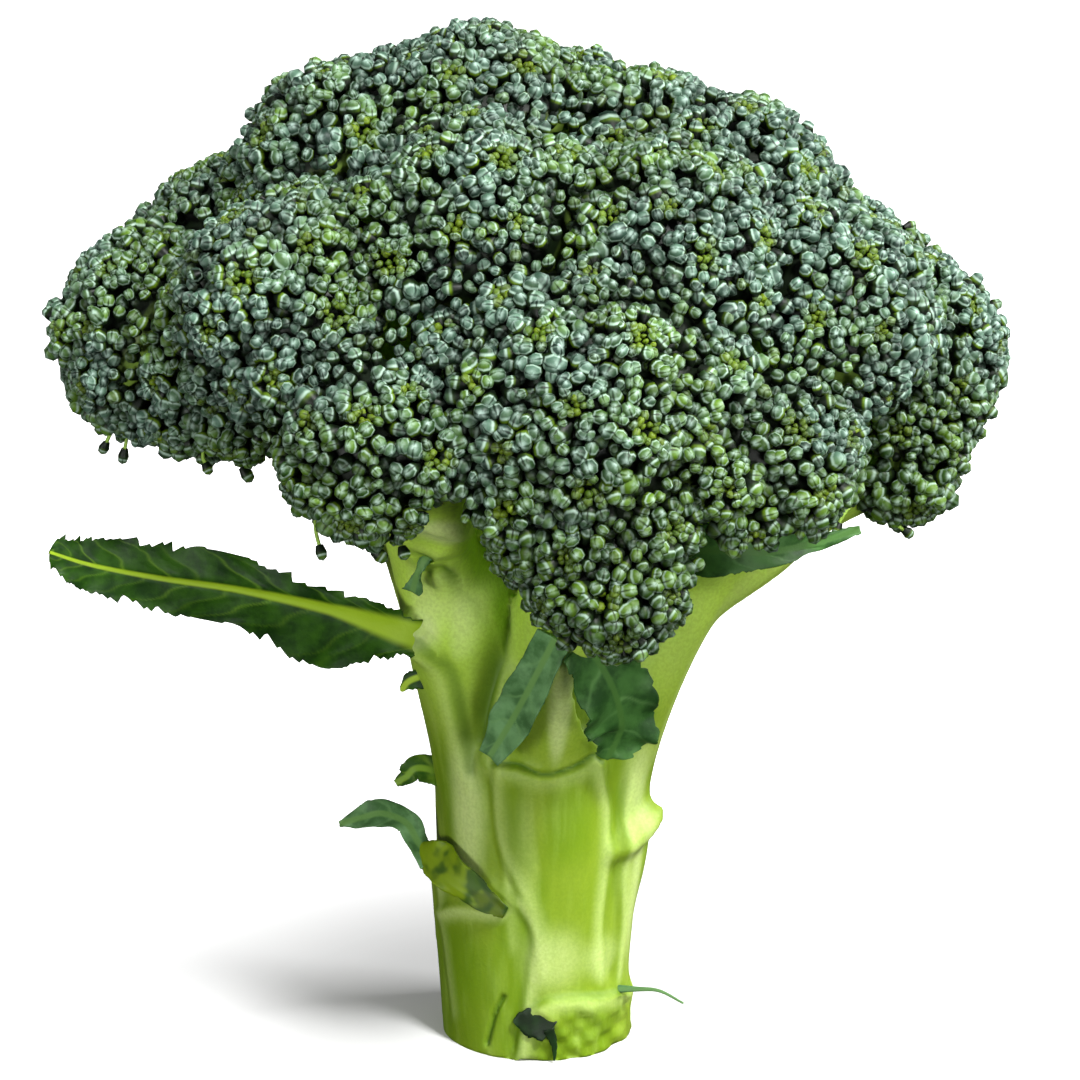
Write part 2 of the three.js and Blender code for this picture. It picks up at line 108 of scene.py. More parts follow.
def spline(points, count):
    """`count` points evenly through a Catmull-Rom curve over rows of any width."""
    p = np.array(points, float)
    p = np.vstack([2 * p[0] - p[1], p, 2 * p[-1] - p[-2]])
    t = np.linspace(0, len(p) - 3 - 1e-9, count)
    k = t.astype(int)
    f = (t - k)[:, None]
    a, b, c, d = p[k], p[k + 1], p[k + 2], p[k + 3]
    return 0.5 * (2 * b + (c - a) * f + (2 * a - 5 * b + 4 * c - d) * f**2 + (3 * b - a - 3 * c + d) * f**3)


def make_piece(name, points, faces, attributes, material, nodes=()):
    """A smooth mesh of triangles that rides on the root body."""
    mesh = bpy.data.meshes.new(name)
    mesh.vertices.add(len(points))
    mesh.vertices.foreach_set("co", (np.asarray(points) * MM).astype(np.float32).ravel())
    mesh.loops.add(faces.size)
    mesh.loops.foreach_set("vertex_index", faces.astype(np.int32).ravel())
    mesh.polygons.add(len(faces))
    mesh.polygons.foreach_set("loop_start", np.arange(0, faces.size, 3, dtype=np.int32))
    mesh.update(calc_edges=True)
    mesh.validate()
    mesh.shade_smooth()
    for key, values in attributes.items():
        layer = mesh.attributes.new(key, "FLOAT", "POINT")
        layer.data.foreach_set("value", np.asarray(values, np.float32))
    mesh.materials.append(material)
    piece = bpy.data.objects.new(name, mesh)
    bpy.context.scene.collection.objects.link(piece)
    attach(piece, "root")
    if nodes:
        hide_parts(*nodes)
    return piece


class Shells:
    """Gathers vertices, triangles and their attributes before they become one mesh."""

    def __init__(self, *keys):
        self.keys = keys
        self.points = []
        self.faces = []
        self.values = {key: [] for key in keys}
        self.count = 0

    def add(self, points, faces, **values):
        self.points.append(points)
        self.faces.append(faces + self.count)
        self.count += len(points)
        for key in self.keys:
            self.values[key].append(np.broadcast_to(values.get(key, 0.0), (len(points),)))

    def arrays(self):
        values = {key: np.concatenate(rows) for key, rows in self.values.items()}
        return np.concatenate(self.points), np.concatenate(self.faces), values


def tube(path, radii, sides, tip=False):
    """A closed tube along a path, with a fan at each end. Returns points, faces and the share along it."""
    path = np.asarray(path, float)
    steps = len(path)
    tangent = unit(np.gradient(path, axis=0))
    side = np.cross(tangent[0], [0.3, 0.1, 1.0] if abs(tangent[0][2]) < 0.9 else [1.0, 0.2, 0.0])
    rings = []
    for j in range(steps):
        side = unit(side - tangent[j] * (side @ tangent[j]))
        other = np.cross(tangent[j], side)
        angle = 2 * math.pi * np.arange(sides) / sides
        ring = np.cos(angle)[:, None] * side + np.sin(angle)[:, None] * other
        rings.append(path[j] + radii[j] * ring)
    points = np.vstack(rings + [path[:1], path[-1:] + (tangent[-1:] * radii[-1] * 0.5 if tip else 0)])
    faces = []
    for j in range(steps - 1):
        for k in range(sides):
            a = j * sides + k
            b = j * sides + (k + 1) % sides
            faces += [[a, b, b + sides], [a, b + sides, a + sides]]
    foot = len(points) - 2
    last = (steps - 1) * sides
    for k in range(sides):
        faces += [[foot, (k + 1) % sides, k], [foot + 1, last + k, last + (k + 1) % sides]]
    along = np.concatenate([np.repeat(np.linspace(0, 1, steps), sides), [0, 1]])
    return points, np.array(faces), along


# Crown

def make_florets():
    florets = []
    for number, (name, (x, y, z, radius, limb)) in enumerate(FLORETS.items()):
        centre = np.array([x, y, z], float)
        curve = spline([row[:3] for row in LIMBS[limb]], 49)
        reached = np.nonzero(curve[:, 2] >= z - BRANCH_RISE)[0]
        start = curve[reached[0] if len(reached) else -1]
        axis = unit(centre - start)
        florets.append(dict(name=name, number=number, centre=centre, radius=radius, start=start, axis=axis))
    return florets


def cap_directions(floret, spacing):
    """Directions spread evenly over the part of a floret that carries buds."""
    share = (1 - math.cos(CAP_ANGLE)) / 2
    count = round(4 * math.pi * floret["radius"] ** 2 * share / (HEXAGON * spacing**2))
    side = unit(np.cross([0, 0, 1.0], floret["axis"]))
    other = np.cross(floret["axis"], side)
    k = np.arange(count)
    cos = 1 - 2 * share * (k + 0.5) / count
    sin = np.sqrt(1 - cos**2)
    turn = k * GOLDEN_ANGLE
    return (
        cos[:, None] * floret["axis"]
        + (sin * np.cos(turn))[:, None] * side
        + (sin * np.sin(turn))[:, None] * other
    )


CROWN_BLEND = 4.5  # how softly one floret's round passes into the next
REACH_STEPS = 10
SCATTER_SPACING = 1.5  # of the places that clusters and loose buds are drawn from
CLUSTER_SIZE = (8.6, 13)  # from one cluster's middle to the next
DOME_SHARE = 0.7  # radius to the buds' tips in one cluster, as a share of that
DOME_ANGLE = math.radians(80)
CLUSTER_GAP = 0.43  # least distance between two clusters, over their sizes together
CLUSTER_SINK = 1.3  # how much lower than the proudest a cluster may sit
CLUSTER_TILT = 0.1
RIPENESS = (0.88, 1.14)  # of a whole cluster, in the size of its buds
FLORET_CENTRES = np.array([row[:3] for row in FLORETS.values()], float)
FLORET_RADII = np.array([row[3] for row in FLORETS.values()], float)


def crown_distance(points):
    """Signed distance to the florets' spheres, softly joined, and each point's share of every floret."""
    away = np.linalg.norm(points[:, None] - FLORET_CENTRES, axis=2) - FLORET_RADII
    shares = np.exp(-away / CROWN_BLEND)
    total = shares.sum(1)
    return -CROWN_BLEND * np.log(total), shares / total[:, None]


def crown_reach(floret, directions):
    reach = np.full(len(directions), float(floret["radius"]))
    for _ in range(REACH_STEPS):
        reach -= crown_distance(floret["centre"] + directions * reach[:, None])[0]
    return reach


# Gaps at the crown's lower edge: x of the middle, half width, z of the top and the foot, and y of the back
CLEFTS = [(-13.4, 3.3, 98.5, 84, -26), (33, 12, 91.5, 82, -18)]
# How far clusters, buds and cores keep away from a gap
CLUSTER_MARGIN = 1.2
BUD_MARGIN = 0.6
CORE_MARGIN = 0.5


def in_cleft(points, grow=0.0):
    inside = np.zeros(len(points), bool)
    for middle, half, top, foot, back in CLEFTS:
        share = np.clip((points[:, 2] - foot) / (top - foot), 0, 1)
        wide = half * np.sqrt(1 - share**3) + grow
        across = np.abs(points[:, 0] - middle) < wide
        inside |= across & (points[:, 1] < back) & (points[:, 2] < top + grow)
    return inside


def crown_places(florets):
    """Places all over the joined crown, with the way out of it there and the number of the floret."""
    places, normals, numbers = [], [], []
    for floret in florets:
        directions = cap_directions(floret, SCATTER_SPACING)
        tops = floret["centre"] + directions * crown_reach(floret, directions)[:, None]
        shares = crown_distance(tops)[1]
        own = (shares.argmax(1) == floret["number"]) & ~in_cleft(tops, CLUSTER_MARGIN)
        tops, shares = tops[own], shares[own]
        outward = unit(tops[:, None] - FLORET_CENTRES)
        places.append(tops)
        normals.append(unit((outward * shares[:, :, None]).sum(1)))
        numbers.append(np.full(len(tops), floret["number"]))
    return np.vstack(places), np.vstack(normals), np.concatenate(numbers)


def make_clusters(places, normals, numbers):
    """The domes of buds: the floret, axis, radius to the buds' tips and middle of each."""
    clusters = []
    tree_places = np.zeros((0, 3))
    sizes = np.zeros(0)
    for k in rng.permutation(len(places)):
        size = rng.uniform(*CLUSTER_SIZE)
        apart = np.linalg.norm(tree_places - places[k], axis=1)
        if np.any(apart < (sizes + size) * CLUSTER_GAP):
            continue
        tree_places = np.vstack([tree_places, places[k]])
        sizes = np.append(sizes, size)
        radius = size * DOME_SHARE
        proud = CROWN_PROUD + rng.uniform(-CLUSTER_SINK, 0)
        clusters.append(dict(
            number=numbers[k],
            axis=unit(normals[k] + rng.normal(0, CLUSTER_TILT, 3)),
            out=normals[k],
            radius=radius,
            middle=places[k] + normals[k] * (proud - radius),
            ripeness=rng.uniform(*RIPENESS),
        ))
    return clusters


BUD_RADIUS = 1.3  # of a grown bud, across its wide way
CENTRE_BUD = 0.42  # a cluster's youngest buds, as a share of that
RIPE_ANGLE = math.radians(38)  # from a cluster's middle to its grown buds
BUD_STRETCH = (1.1, 1.5)  # half length over radius
BUD_FLAT = (0.66, 0.92)  # its narrow way over its wide one
BUD_SPACING = 1.5
BUD_LEAN = 0.06  # how far the buds lean out from their cluster's axis
BUD_SIZES = (0.9, 1.14)  # of its size for its age
FIRST_ANGLE = 0.12  # radians from a cluster's axis to its first bud
ANGLE_NOISE = 0.045
TURN_NOISE = 0.2
DIP_NOISE = 0.25
AXIS_NOISE = 0.24
CENTRE_DIP = 1.1  # how far a cluster is dented at its middle
BIG_SHARE = 0.03  # of the buds older than BIG_AGE that are bigger still
BIG_AGE = 0.8
BIG_BUD = 1.35


def cluster_buds(cluster):
    """Positions, axes, radii and ages of one cluster's buds, spiralling out from its middle."""
    reach = cluster["radius"] - BUD_RADIUS
    angle = FIRST_ANGLE
    k = 0
    angles, radii, turns, ages = [], [], [], []
    while angle < DOME_ANGLE:
        age = float(smoothstep(0, RIPE_ANGLE, angle))
        radius = BUD_RADIUS * (CENTRE_BUD + (1 - CENTRE_BUD) * age) * cluster["ripeness"]
        angles.append(angle)
        radii.append(radius)
        ages.append(age)
        turns.append(k * GOLDEN_ANGLE)
        area = HEXAGON * (BUD_SPACING * radius) ** 2
        angle = math.acos(max(-1, math.cos(angle) - area / (2 * math.pi * reach**2)))
        k += 1
    angles = np.array(angles) + rng.normal(0, ANGLE_NOISE, k)
    turns = np.array(turns) + rng.normal(0, TURN_NOISE, k) + rng.uniform(*ANY_TURN)
    axis = cluster["axis"]
    side = unit(np.cross(axis, [0.2, 0.5, 1.0]))
    other = np.cross(axis, side)
    normal = (
        np.cos(angles)[:, None] * axis
        + (np.sin(angles) * np.cos(turns))[:, None] * side
        + (np.sin(angles) * np.sin(turns))[:, None] * other
    )
    ages = np.array(ages)
    dip = CENTRE_DIP * (1 - ages) + rng.normal(0, DIP_NOISE, k)
    places = cluster["middle"] + normal * (reach - dip)[:, None]
    outward = unit(places - cluster["middle"] - axis * BUD_LEAN * reach)
    axes = unit(outward + rng.normal(0, AXIS_NOISE, (k, 3)))
    radii = np.array(radii) * rng.uniform(*BUD_SIZES, k)
    radii[rng.random(k) < BIG_SHARE * (ages > BIG_AGE)] *= BIG_BUD
    return places, axes, radii, ages


LOOSE_DEPTH = 1.7  # of the buds that fill the clefts, under the softly joined crown
LOOSE_GAP = 1.72  # from a loose bud to any other
LOOSE_RISE = 0.5  # how much its depth varies
LOOSE_JITTER = 0.4
LOOSE_LEAN = 0.35
LOOSE_RADII = (0.95, 1.3)
LOOSE_AGES = (0.45, 0.9)
MOST_SUNK = -1.3  # depth at which a dome's bud in another dome is left out
FAR = 99.0
SEARCH_RANGE = 2.4
BUD_GAP = 0.72  # least distance between buds of two domes, over their radii together


def place_buds(clusters, places, normals, numbers):
    """Position, axis, radius, age and floret of each bud that isn't sunk in another dome or bud."""
    rows = [cluster_buds(cluster) for cluster in clusters]
    owner = np.repeat(np.arange(len(rows)), [len(row[0]) for row in rows])
    spots, axes, radii, ages = (np.concatenate([row[k] for row in rows]) for k in range(4))
    middles = np.array([cluster["middle"] for cluster in clusters])
    reaches = np.array([cluster["radius"] for cluster in clusters]) - BUD_RADIUS
    clearance = np.full(len(spots), FAR)
    for index, (middle, reach) in enumerate(zip(middles, reaches)):
        others = owner != index
        gap = np.linalg.norm(spots[others] - middle, axis=1) - reach
        clearance[others] = np.minimum(clearance[others], gap)
    loose = rng.permutation(len(places))
    rise = rng.uniform(-LOOSE_RISE, LOOSE_RISE, len(loose)) - LOOSE_DEPTH
    loose_spots = places[loose] + normals[loose] * rise[:, None]
    loose_spots += rng.normal(0, LOOSE_JITTER, loose_spots.shape)
    owner_floret = np.array([cluster["number"] for cluster in clusters])[owner]
    order = np.concatenate([np.argsort(-clearance), len(spots) + np.arange(len(loose))])
    spots = np.vstack([spots, loose_spots])
    axes = np.vstack([axes, unit(normals[loose] + rng.normal(0, LOOSE_LEAN, (len(loose), 3)))])
    radii = np.append(radii, rng.uniform(*LOOSE_RADII, len(loose)))
    ages = np.append(ages, rng.uniform(*LOOSE_AGES, len(loose)))
    florets = np.append(owner_floret, numbers[loose])
    owner = np.append(owner, np.full(len(loose), -1))
    sunk = np.append(clearance < MOST_SUNK, np.zeros(len(loose), bool)) | in_cleft(spots, BUD_MARGIN)
    tree = KDTree(len(spots))
    for k, spot in enumerate(spots):
        tree.insert(spot, k)
    tree.balance()
    kept = np.zeros(len(spots), bool)
    for k in order:
        if sunk[k]:
            continue
        near = tree.find_range(spots[k], SEARCH_RANGE)
        if owner[k] < 0:
            kept[k] = all(not kept[j] or distance > LOOSE_GAP for _, j, distance in near)
        else:
            kept[k] = all(
                not kept[j] or owner[j] == owner[k] or distance > BUD_GAP * (radii[k] + radii[j])
                for _, j, distance in near
            )
    return spots[kept], axes[kept], radii[kept], ages[kept], florets[kept]


# A bud's rings: height and radius as shares of its half length and radius, and how deep its seams are
BUD_RINGS = [(-0.8, 0.6, 0.0), (0.0, 1.0, 0.1), (0.64, 0.8, 0.24)]
BUD_TIP = 0.93
SMALL_RINGS = [(-0.6, 0.8, 0.0), (0.6, 0.78, 0.15)]


def bud_template(rings, sides, seams):
    points, seam = [], []
    for height, radius, groove in rings:
        for k in range(sides):
            angle = 2 * math.pi * k / sides
            sunk = float(k % (sides // seams) == 0)
            points.append([radius * (1 - groove * sunk) * math.cos(angle),
                           radius * (1 - groove * sunk) * math.sin(angle),
                           height])
            seam.append(sunk)
    points.append([0, 0, BUD_TIP])
    seam.append(0.8)
    faces = []
    for j in range(len(rings) - 1):
        for k in range(sides):
            a, b = j * sides + k, j * sides + (k + 1) % sides
            faces += [[a, b, b + sides], [a, b + sides, a + sides]]
    last = (len(rings) - 1) * sides
    faces += [[last + k, last + (k + 1) % sides, len(points) - 1] for k in range(sides)]
    return np.array(points), np.array(faces), np.array(seam)


def add_buds(shells, places, axes, radii, ages, tones, template):
    points, faces, seam = template
    count = len(places)
    if not count:
        return
    roll = rng.uniform(*ANY_TURN, count)
    helper = np.where(np.abs(axes[:, 2:]) < 0.9, [[0, 0, 1.0]], [[1.0, 0, 0]])
    u = unit(np.cross(axes, helper))
    v = np.cross(axes, u)
    u, v = (
        u * np.cos(roll)[:, None] + v * np.sin(roll)[:, None],
        v * np.cos(roll)[:, None] - u * np.sin(roll)[:, None],
    )
    long = radii * rng.uniform(*BUD_STRETCH, count)
    flat = rng.uniform(*BUD_FLAT, count)
    world = (
        places[:, None]
        + points[None, :, 0:1] * (radii[:, None, None] * u[:, None])
        + points[None, :, 1:2] * ((radii * flat)[:, None, None] * v[:, None])
        + points[None, :, 2:3] * (long[:, None, None] * axes[:, None])
    )
    size = len(points)
    all_faces = (faces[None] + (np.arange(count) * size)[:, None, None]).reshape(-1, 3)
    shells.add(
        world.reshape(-1, 3),
        all_faces,
        age=np.repeat(ages, size),
        tone=np.repeat(tones, size),
        along=np.tile((points[:, 2] + 1) / 2, count),
        seam=np.tile(seam, count),
    )


STRAY_STALK = 0.3  # radius of the thin stalk that a hanging bud has
# Buds that hang from the crown's edge on thin stalks: the floret, the stalk's path and the bud's radius
STRAYS = [
    ("floret_low_left", [(-31.5, -43, 96), (-31.4, -44, 93.2), (-30.8, -45, 91)], 0.95),
    ("floret_low_left", [(-26, -43, 95), (-25.2, -44.4, 92), (-23.2, -45, 90.4)], 1.2),
    ("floret_low_left", [(-20, -43, 95), (-19.9, -44, 92.8), (-19.3, -45, 91)], 1.05),
    ("floret_left", [(-62, -7, 101), (-62.2, -7.5, 98), (-62.6, -7.5, 96)], 1.1),
    ("floret_left", [(-63, -6, 101), (-64.6, -7, 98.6), (-65.4, -7, 97)], 1.0),
    ("floret_left_under", [(-44, -18, 99), (-44.4, -19, 97.4), (-43.6, -19.5, 96)], 1.1),
    ("floret_left_under", [(-49, -18, 100), (-49.6, -19, 98), (-49.2, -19.4, 96.8)], 0.95),
    ("floret_right_under", [(52, -8, 86), (53.6, -9, 85), (55, -9, 84)], 1.0),
    ("floret_right_under", [(47, -9, 88), (45.6, -10, 86.4), (45, -10.5, 85.2)], 0.9),
]
CORE_DEPTH = 3.4  # from the joined crown down to the core that carries the buds
CORE_SHRINK = 0.04  # of its reach, at each step that takes a core out of a gap
LEAST_CORE = 0.3
CORE_UNDERSIDE = 0.16  # how far below a floret's centre its core is cut off, over its radius
SMALL_BUD_RADIUS = 0.66
THREE_LEAVED = 0.3  # share of the larger buds that show three leaves instead of two
# Depths over which buds darken with painted shade, from deep inside the crown up to its softly joined
# surface.
CROWN_SHADE_DEPTHS = (-3.4, 1.3)  # from the crown's dark inside to its softly joined surface
BRANCHLET = (2.0, 1.1)  # radius at foot and top


def sphere_template(subdivisions):
    mesh = bmesh.new()
    bmesh.ops.create_icosphere(mesh, subdivisions=subdivisions, radius=1.0)
    points = np.array([v.co for v in mesh.verts])
    faces = np.array([[v.index for v in f.verts] for f in mesh.faces])
    mesh.free()
    return points, faces


def core_reach(floret, directions):
    """The core follows the softly joined crown a little under its buds, down to a flat underside."""
    reach = np.minimum(crown_reach(floret, directions), floret["radius"] + 3) - CORE_DEPTH
    for share in np.arange(1 - CORE_SHRINK, LEAST_CORE, -CORE_SHRINK):
        lower = reach * share
        inside = in_cleft(floret["centre"] + directions * lower[:, None], CORE_MARGIN)
        reach = np.where(inside, lower * (1 - CORE_SHRINK), reach)
    along = directions @ floret["axis"]
    limit = CORE_UNDERSIDE * floret["radius"] / np.maximum(-along, 1e-6)
    return np.where(along < -0.02, np.minimum(reach, limit), reach)


def floret_piece(floret, clusters, buds, material):
    shells = Shells("age", "tone", "along", "seam", "stem", "depth")
    directions, faces = SPHERE
    reach = core_reach(floret, directions)
    under = smoothstep(0.1, -0.1, directions @ floret["axis"])
    # The core takes seam 1 and along 0, so it gets the buds' darkest colour: painted shade deep between them.
    shells.add(floret["centre"] + directions * reach[:, None], faces, age=0.5, tone=0.5, seam=1.0, stem=under)
    foot = floret["centre"] - floret["axis"] * 0.5 * floret["radius"]
    for cluster in clusters:
        if cluster["number"] != floret["number"]:
            continue
        top = cluster["middle"] - cluster["out"] * 0.6
        bend = foot + (cluster["out"] * 0.45 + floret["axis"] * 0.1) * floret["radius"] * 0.5
        path = spline([foot - floret["axis"] * 2, foot, bend, top], 6)
        points, tube_faces, along = tube(path, np.linspace(*BRANCHLET, 6), 7)
        shells.add(points, tube_faces, stem=1.0, along=along, tone=0.5)
    places, axes, radii, ages, numbers = buds
    mine = numbers == floret["number"]
    tone = rng.uniform(0, 1, len(places))
    large = mine & (radii > SMALL_BUD_RADIUS)
    three = rng.random(len(places)) < THREE_LEAVED
    kinds = ((large & ~three, TWO_LEAVED_BUD), (large & three, THREE_LEAVED_BUD), (mine & ~large, SMALL_BUD))
    for chosen, template in kinds:
        add_buds(shells, places[chosen], axes[chosen], radii[chosen], ages[chosen], tone[chosen], template)
    for owner, path, radius in STRAYS:
        if owner == floret["name"]:
            path = spline(path, 8)
            shells.add(*tube(path, np.full(8, STRAY_STALK), 6)[:2], stem=1.0, along=0.2, tone=0.5)
            end, way = path[-1:], unit(path[-1:] - path[-2:-1])
            ripe = np.array([1.0])
            add_buds(shells, end + way * radius * 0.8, way, ripe * radius, ripe, ripe * 0.5, TWO_LEAVED_BUD)
    points, faces, values = shells.arrays()
    # Buds deeper in the crown get more painted shade.
    values["depth"] = smoothstep(*CROWN_SHADE_DEPTHS, crown_distance(points)[0])
    return make_piece(floret["name"] + "_buds", points, faces, values, material, [floret["name"]])


# Stalk

# The trunk's rings: z, radius, and x of the middle
TRUNK_PROFILE = [
    (-5, 15.5, -0.5), (0, 15.7, -0.5), (10, 16, -0.45), (22, 16.5, -0.3), (37, 17.2, 0), (48.9, 17.2, 0),
    (60, 15, 0), (68, 11, 0),
]
# Leaf bases that run down the trunk as raised panels: azimuth from -Y towards +X and half width in degrees,
# at the top and then at the foot, and the heights between which they run.
PANELS = [
    ((5, 33), (14, 17), 8, 48.4),
    ((-54, 42), (-48, 34), -8, 28),
    ((-62, 26), (-40, 16), 30, 66),
    ((72, 30), (66, 26), -8, 37),
    ((42, 44), (42, 40), -8, 9.2),
    ((150, 34), (145, 26), 2, 42),
    ((-140, 34), (-135, 26), -6, 37),
]
PANEL_RAISE = 1.3
PANEL_EDGE = 9
PANEL_LIP = 1.0
# Marks on the stalk: azimuth and height along each, the depth and half width of its groove, how far the
# surface stands proud on one side of it (the right side of a line that runs down), how pale that side is, and
# how dark the groove is. The pale is partly the stalk's bloom and partly a painted highlight on the proud
# side;
# the dark is painted shade in the groove.
MARKS = [
    ([(-25, 48.5), (-27, 44.5), (-26, 38), (-21, 33), (-13, 28.5), (-7, 24), (-4, 19.5), (-3, 15)],
     0.1, 0.7, 0.25, 0.5, 0.1),
    ([(33, 49), (41, 42), (42, 37), (42, 30), (40, 22), (42, 14)], 0.1, 0.9, -0.4, 0.6, 0.15),
    ([(49, 44), (46, 35), (46, 28), (49, 21), (48, 13)], 0.2, 1.1, 0.3, 0.7, 0.25),
    ([(-38, 83), (-33, 76.5), (-29, 73), (-25, 69), (-27, 63), (-31, 57), (-33, 52)],
     1.7, 1.2, 0.9, 0.3, 0.9),
    ([(-50, 68.5), (-44, 64), (-42, 60), (-41, 55), (-39, 47)], 0.6, 0.9, -0.6, 0.4, 0.6),
    ([(-36, 81), (-43, 74), (-44, 67.5)], -0.5, 1.2, 0.1, 0.6, 0.0),
    ([(-44, 79.5), (-38, 81.5), (-32, 82.4), (-27, 82)], 0.5, 0.6, -0.4, 0.5, 0.5),
    ([(88, 19), (88, 9)], 1.4, 6.5, 0.0, 0.0, 0.0),
    ([(-20, 20), (-22, 32), (-26, 42), (-34, 53)], 0.1, 1.2, -0.2, 0.3, 0.1),
    ([(-25, 49), (-12, 49.2), (2, 47.9), (18, 49), (26, 50.5), (31, 49.5)], 0.7, 0.4, -0.5, 0.3, 1.0),
    ([(-13, 25.5), (-6, 21), (-8, 15), (-11, 10), (-14, 1)], 0.2, 0.8, 0.3, 0.7, 0.2),
    ([(-21, 10.5), (-26, 7.5), (-32, 2)], 0.8, 0.4, 0.1, 0.0, 0.9),
    ([(-66, 22.5), (-47, 25), (-23, 26)], 0.1, 0.5, -0.4, 0.8, 0.15),
    ([(-15, 2), (-11, 6.5), (0, 10.2), (17, 11), (36, 10.2), (66, 9)], 0.2, 0.5, -0.7, 0.5, 0.4),
    ([(58, 86), (50, 74), (44, 64), (38, 54)], 0.2, 1.4, 0.3, 0.4, 0.2),
    ([(74, 82), (70, 70), (66, 58), (63, 48)], -0.2, 1.4, 0.1, 0.4, 0.0),
    ([(-70, 26), (-66, 16), (-62, 6)], 0.1, 1.3, 0.2, 0.4, 0.1),
    ([(125, 44), (128, 30), (132, 14), (134, 2)], 0.15, 0.9, 0.4, 0.6, 0.2),
    ([(178, 44), (172, 30), (166, 14), (164, 2)], 0.15, 0.9, -0.4, 0.6, 0.2),
    ([(-168, 40), (-160, 26), (-155, 10)], 0.15, 0.9, 0.4, 0.6, 0.2),
    ([(-112, 40), (-114, 26), (-112, 8)], 0.15, 0.9, -0.4, 0.5, 0.2),
    ([(120, 45), (150, 43), (180, 45)], 0.5, 0.4, -0.5, 0.4, 0.9),
    ([(-172, 39), (-140, 38), (-110, 40)], 0.5, 0.4, -0.5, 0.4, 0.9),
    ([(98, 70), (96, 58), (100, 46)], 0.5, 1.2, 0.3, 0.3, 0.4),
    ([(-95, 72), (-98, 58), (-96, 44)], 0.5, 1.2, 0.3, 0.3, 0.4),
]
# Where the stalk is paler, or deeper in colour where the last value is below zero: azimuth and height of the
# middle, half width in degrees, half height, and how much. Some are the stalk's own bloom and deeper green;
# others, such as those on the front rib and on the lip under the crown, are painted highlights on ridges with
# painted shade beside them.
WASHES = [
    (-42, 39, 15, 16, 0.8), (8, 17, 24, 7, 0.55), (57, 45, 12, 9, 0.6), (62, 26, 10, 17, 0.7),
    (-6, 36, 9, 14, 0.3), (14, 40, 15, 10, -1.0), (-45, 15, 18, 10, -0.9), (30, 5, 28, 6, -0.7),
    (62, 68, 14, 14, 0.25), (-50, 74, 10, 8, 0.6), (-26, 88.5, 9, 3, 1.2), (-36, 74, 9, 8, 0.5),
    (-52, 69, 7, 3, 0.7), (-20, 60, 6, 10, -0.4), (52, 10, 8, 6, -0.5), (8, 60, 6, 13, 1.1),
    (-9, 58, 4, 8, -0.4), (40, 16, 16, 5, 0.5), (-62, 28, 10, 5, 0.5), (150, 20, 25, 18, -0.6),
    (-140, 20, 20, 16, -0.6), (180, 30, 14, 18, 0.5),
]
MARK_FALL = 6.0  # how far a proud edge runs back
FINE_MARGIN = 1.8  # the skin is finer this close to a mark
MEAN_RADIUS = 16.5
TRUNK_STEP = 0.6
TRUNK_SIDES = 170
MARKS_TOP = 90
SCAR_RELIEF = 0.28
VOXEL = 0.92
SMOOTHING = 14


def azimuths(points):
    return np.degrees(np.arctan2(points[:, 0], -points[:, 1]))


def turned(azimuth, middle):
    """The turn in degrees, either way, from one azimuth to others."""
    return (azimuth - middle + 540) % 360 - 180


def from_axis(points):
    """The way out from the stalk's own axis, level."""
    return points[:, :2] / np.maximum(np.hypot(points[:, 0], points[:, 1]), 1e-6)[:, None]


def panel_raise(azimuth, z):
    raised = np.zeros_like(z)
    for top, foot, low, high in PANELS:
        share = np.clip((z - low) / (high - low), 0, 1)
        middle = foot[0] + (top[0] - foot[0]) * share
        half = foot[1] + (top[1] - foot[1]) * share
        off = np.abs(turned(azimuth, middle))
        inside = (z > low) * (1 - smoothstep(high, high + PANEL_LIP, z))
        raised = np.maximum(raised, share * inside * (1 - smoothstep(half - PANEL_EDGE, half, off)))
    return PANEL_RAISE * raised


def trunk_points(azimuth, z, lift=0.0):
    """Points on the trunk's surface, or `lift` outside it."""
    heights, radii, middles = zip(*TRUNK_PROFILE)
    radius = np.interp(z, heights, radii) - PANEL_RAISE / 2 + panel_raise(azimuth, z) + lift
    angle = np.radians(azimuth)
    middle = np.interp(z, heights, middles)
    return np.stack([middle + radius * np.sin(angle), -radius * np.cos(angle), z], axis=-1)


def trunk_shell():
    heights = np.arange(TRUNK_PROFILE[0][0], TRUNK_PROFILE[-1][0], TRUNK_STEP)
    z, azimuth = np.meshgrid(heights, 360 * np.arange(TRUNK_SIDES) / TRUNK_SIDES, indexing="ij")
    return closed_rings(trunk_points(azimuth, z))


def closed_rings(rings):
    """A closed skin over rings of equal point count, with a fan at each end."""
    steps, sides = rings.shape[:2]
    points = np.vstack([rings.reshape(-1, 3), rings[0].mean(0), rings[-1].mean(0)])
    j, k = np.meshgrid(np.arange(steps - 1), np.arange(sides), indexing="ij")
    a = (j * sides + k).ravel()
    b = (j * sides + (k + 1) % sides).ravel()
    k = np.arange(sides)
    last = (steps - 1) * sides
    foot = np.full(sides, steps * sides)
    faces = np.vstack([
        np.column_stack([a, b, b + sides]),
        np.column_stack([a, b + sides, a + sides]),
        np.column_stack([foot, (k + 1) % sides, k]),
        np.column_stack([foot + 1, last + k, last + (k + 1) % sides]),
    ])
    return points, faces


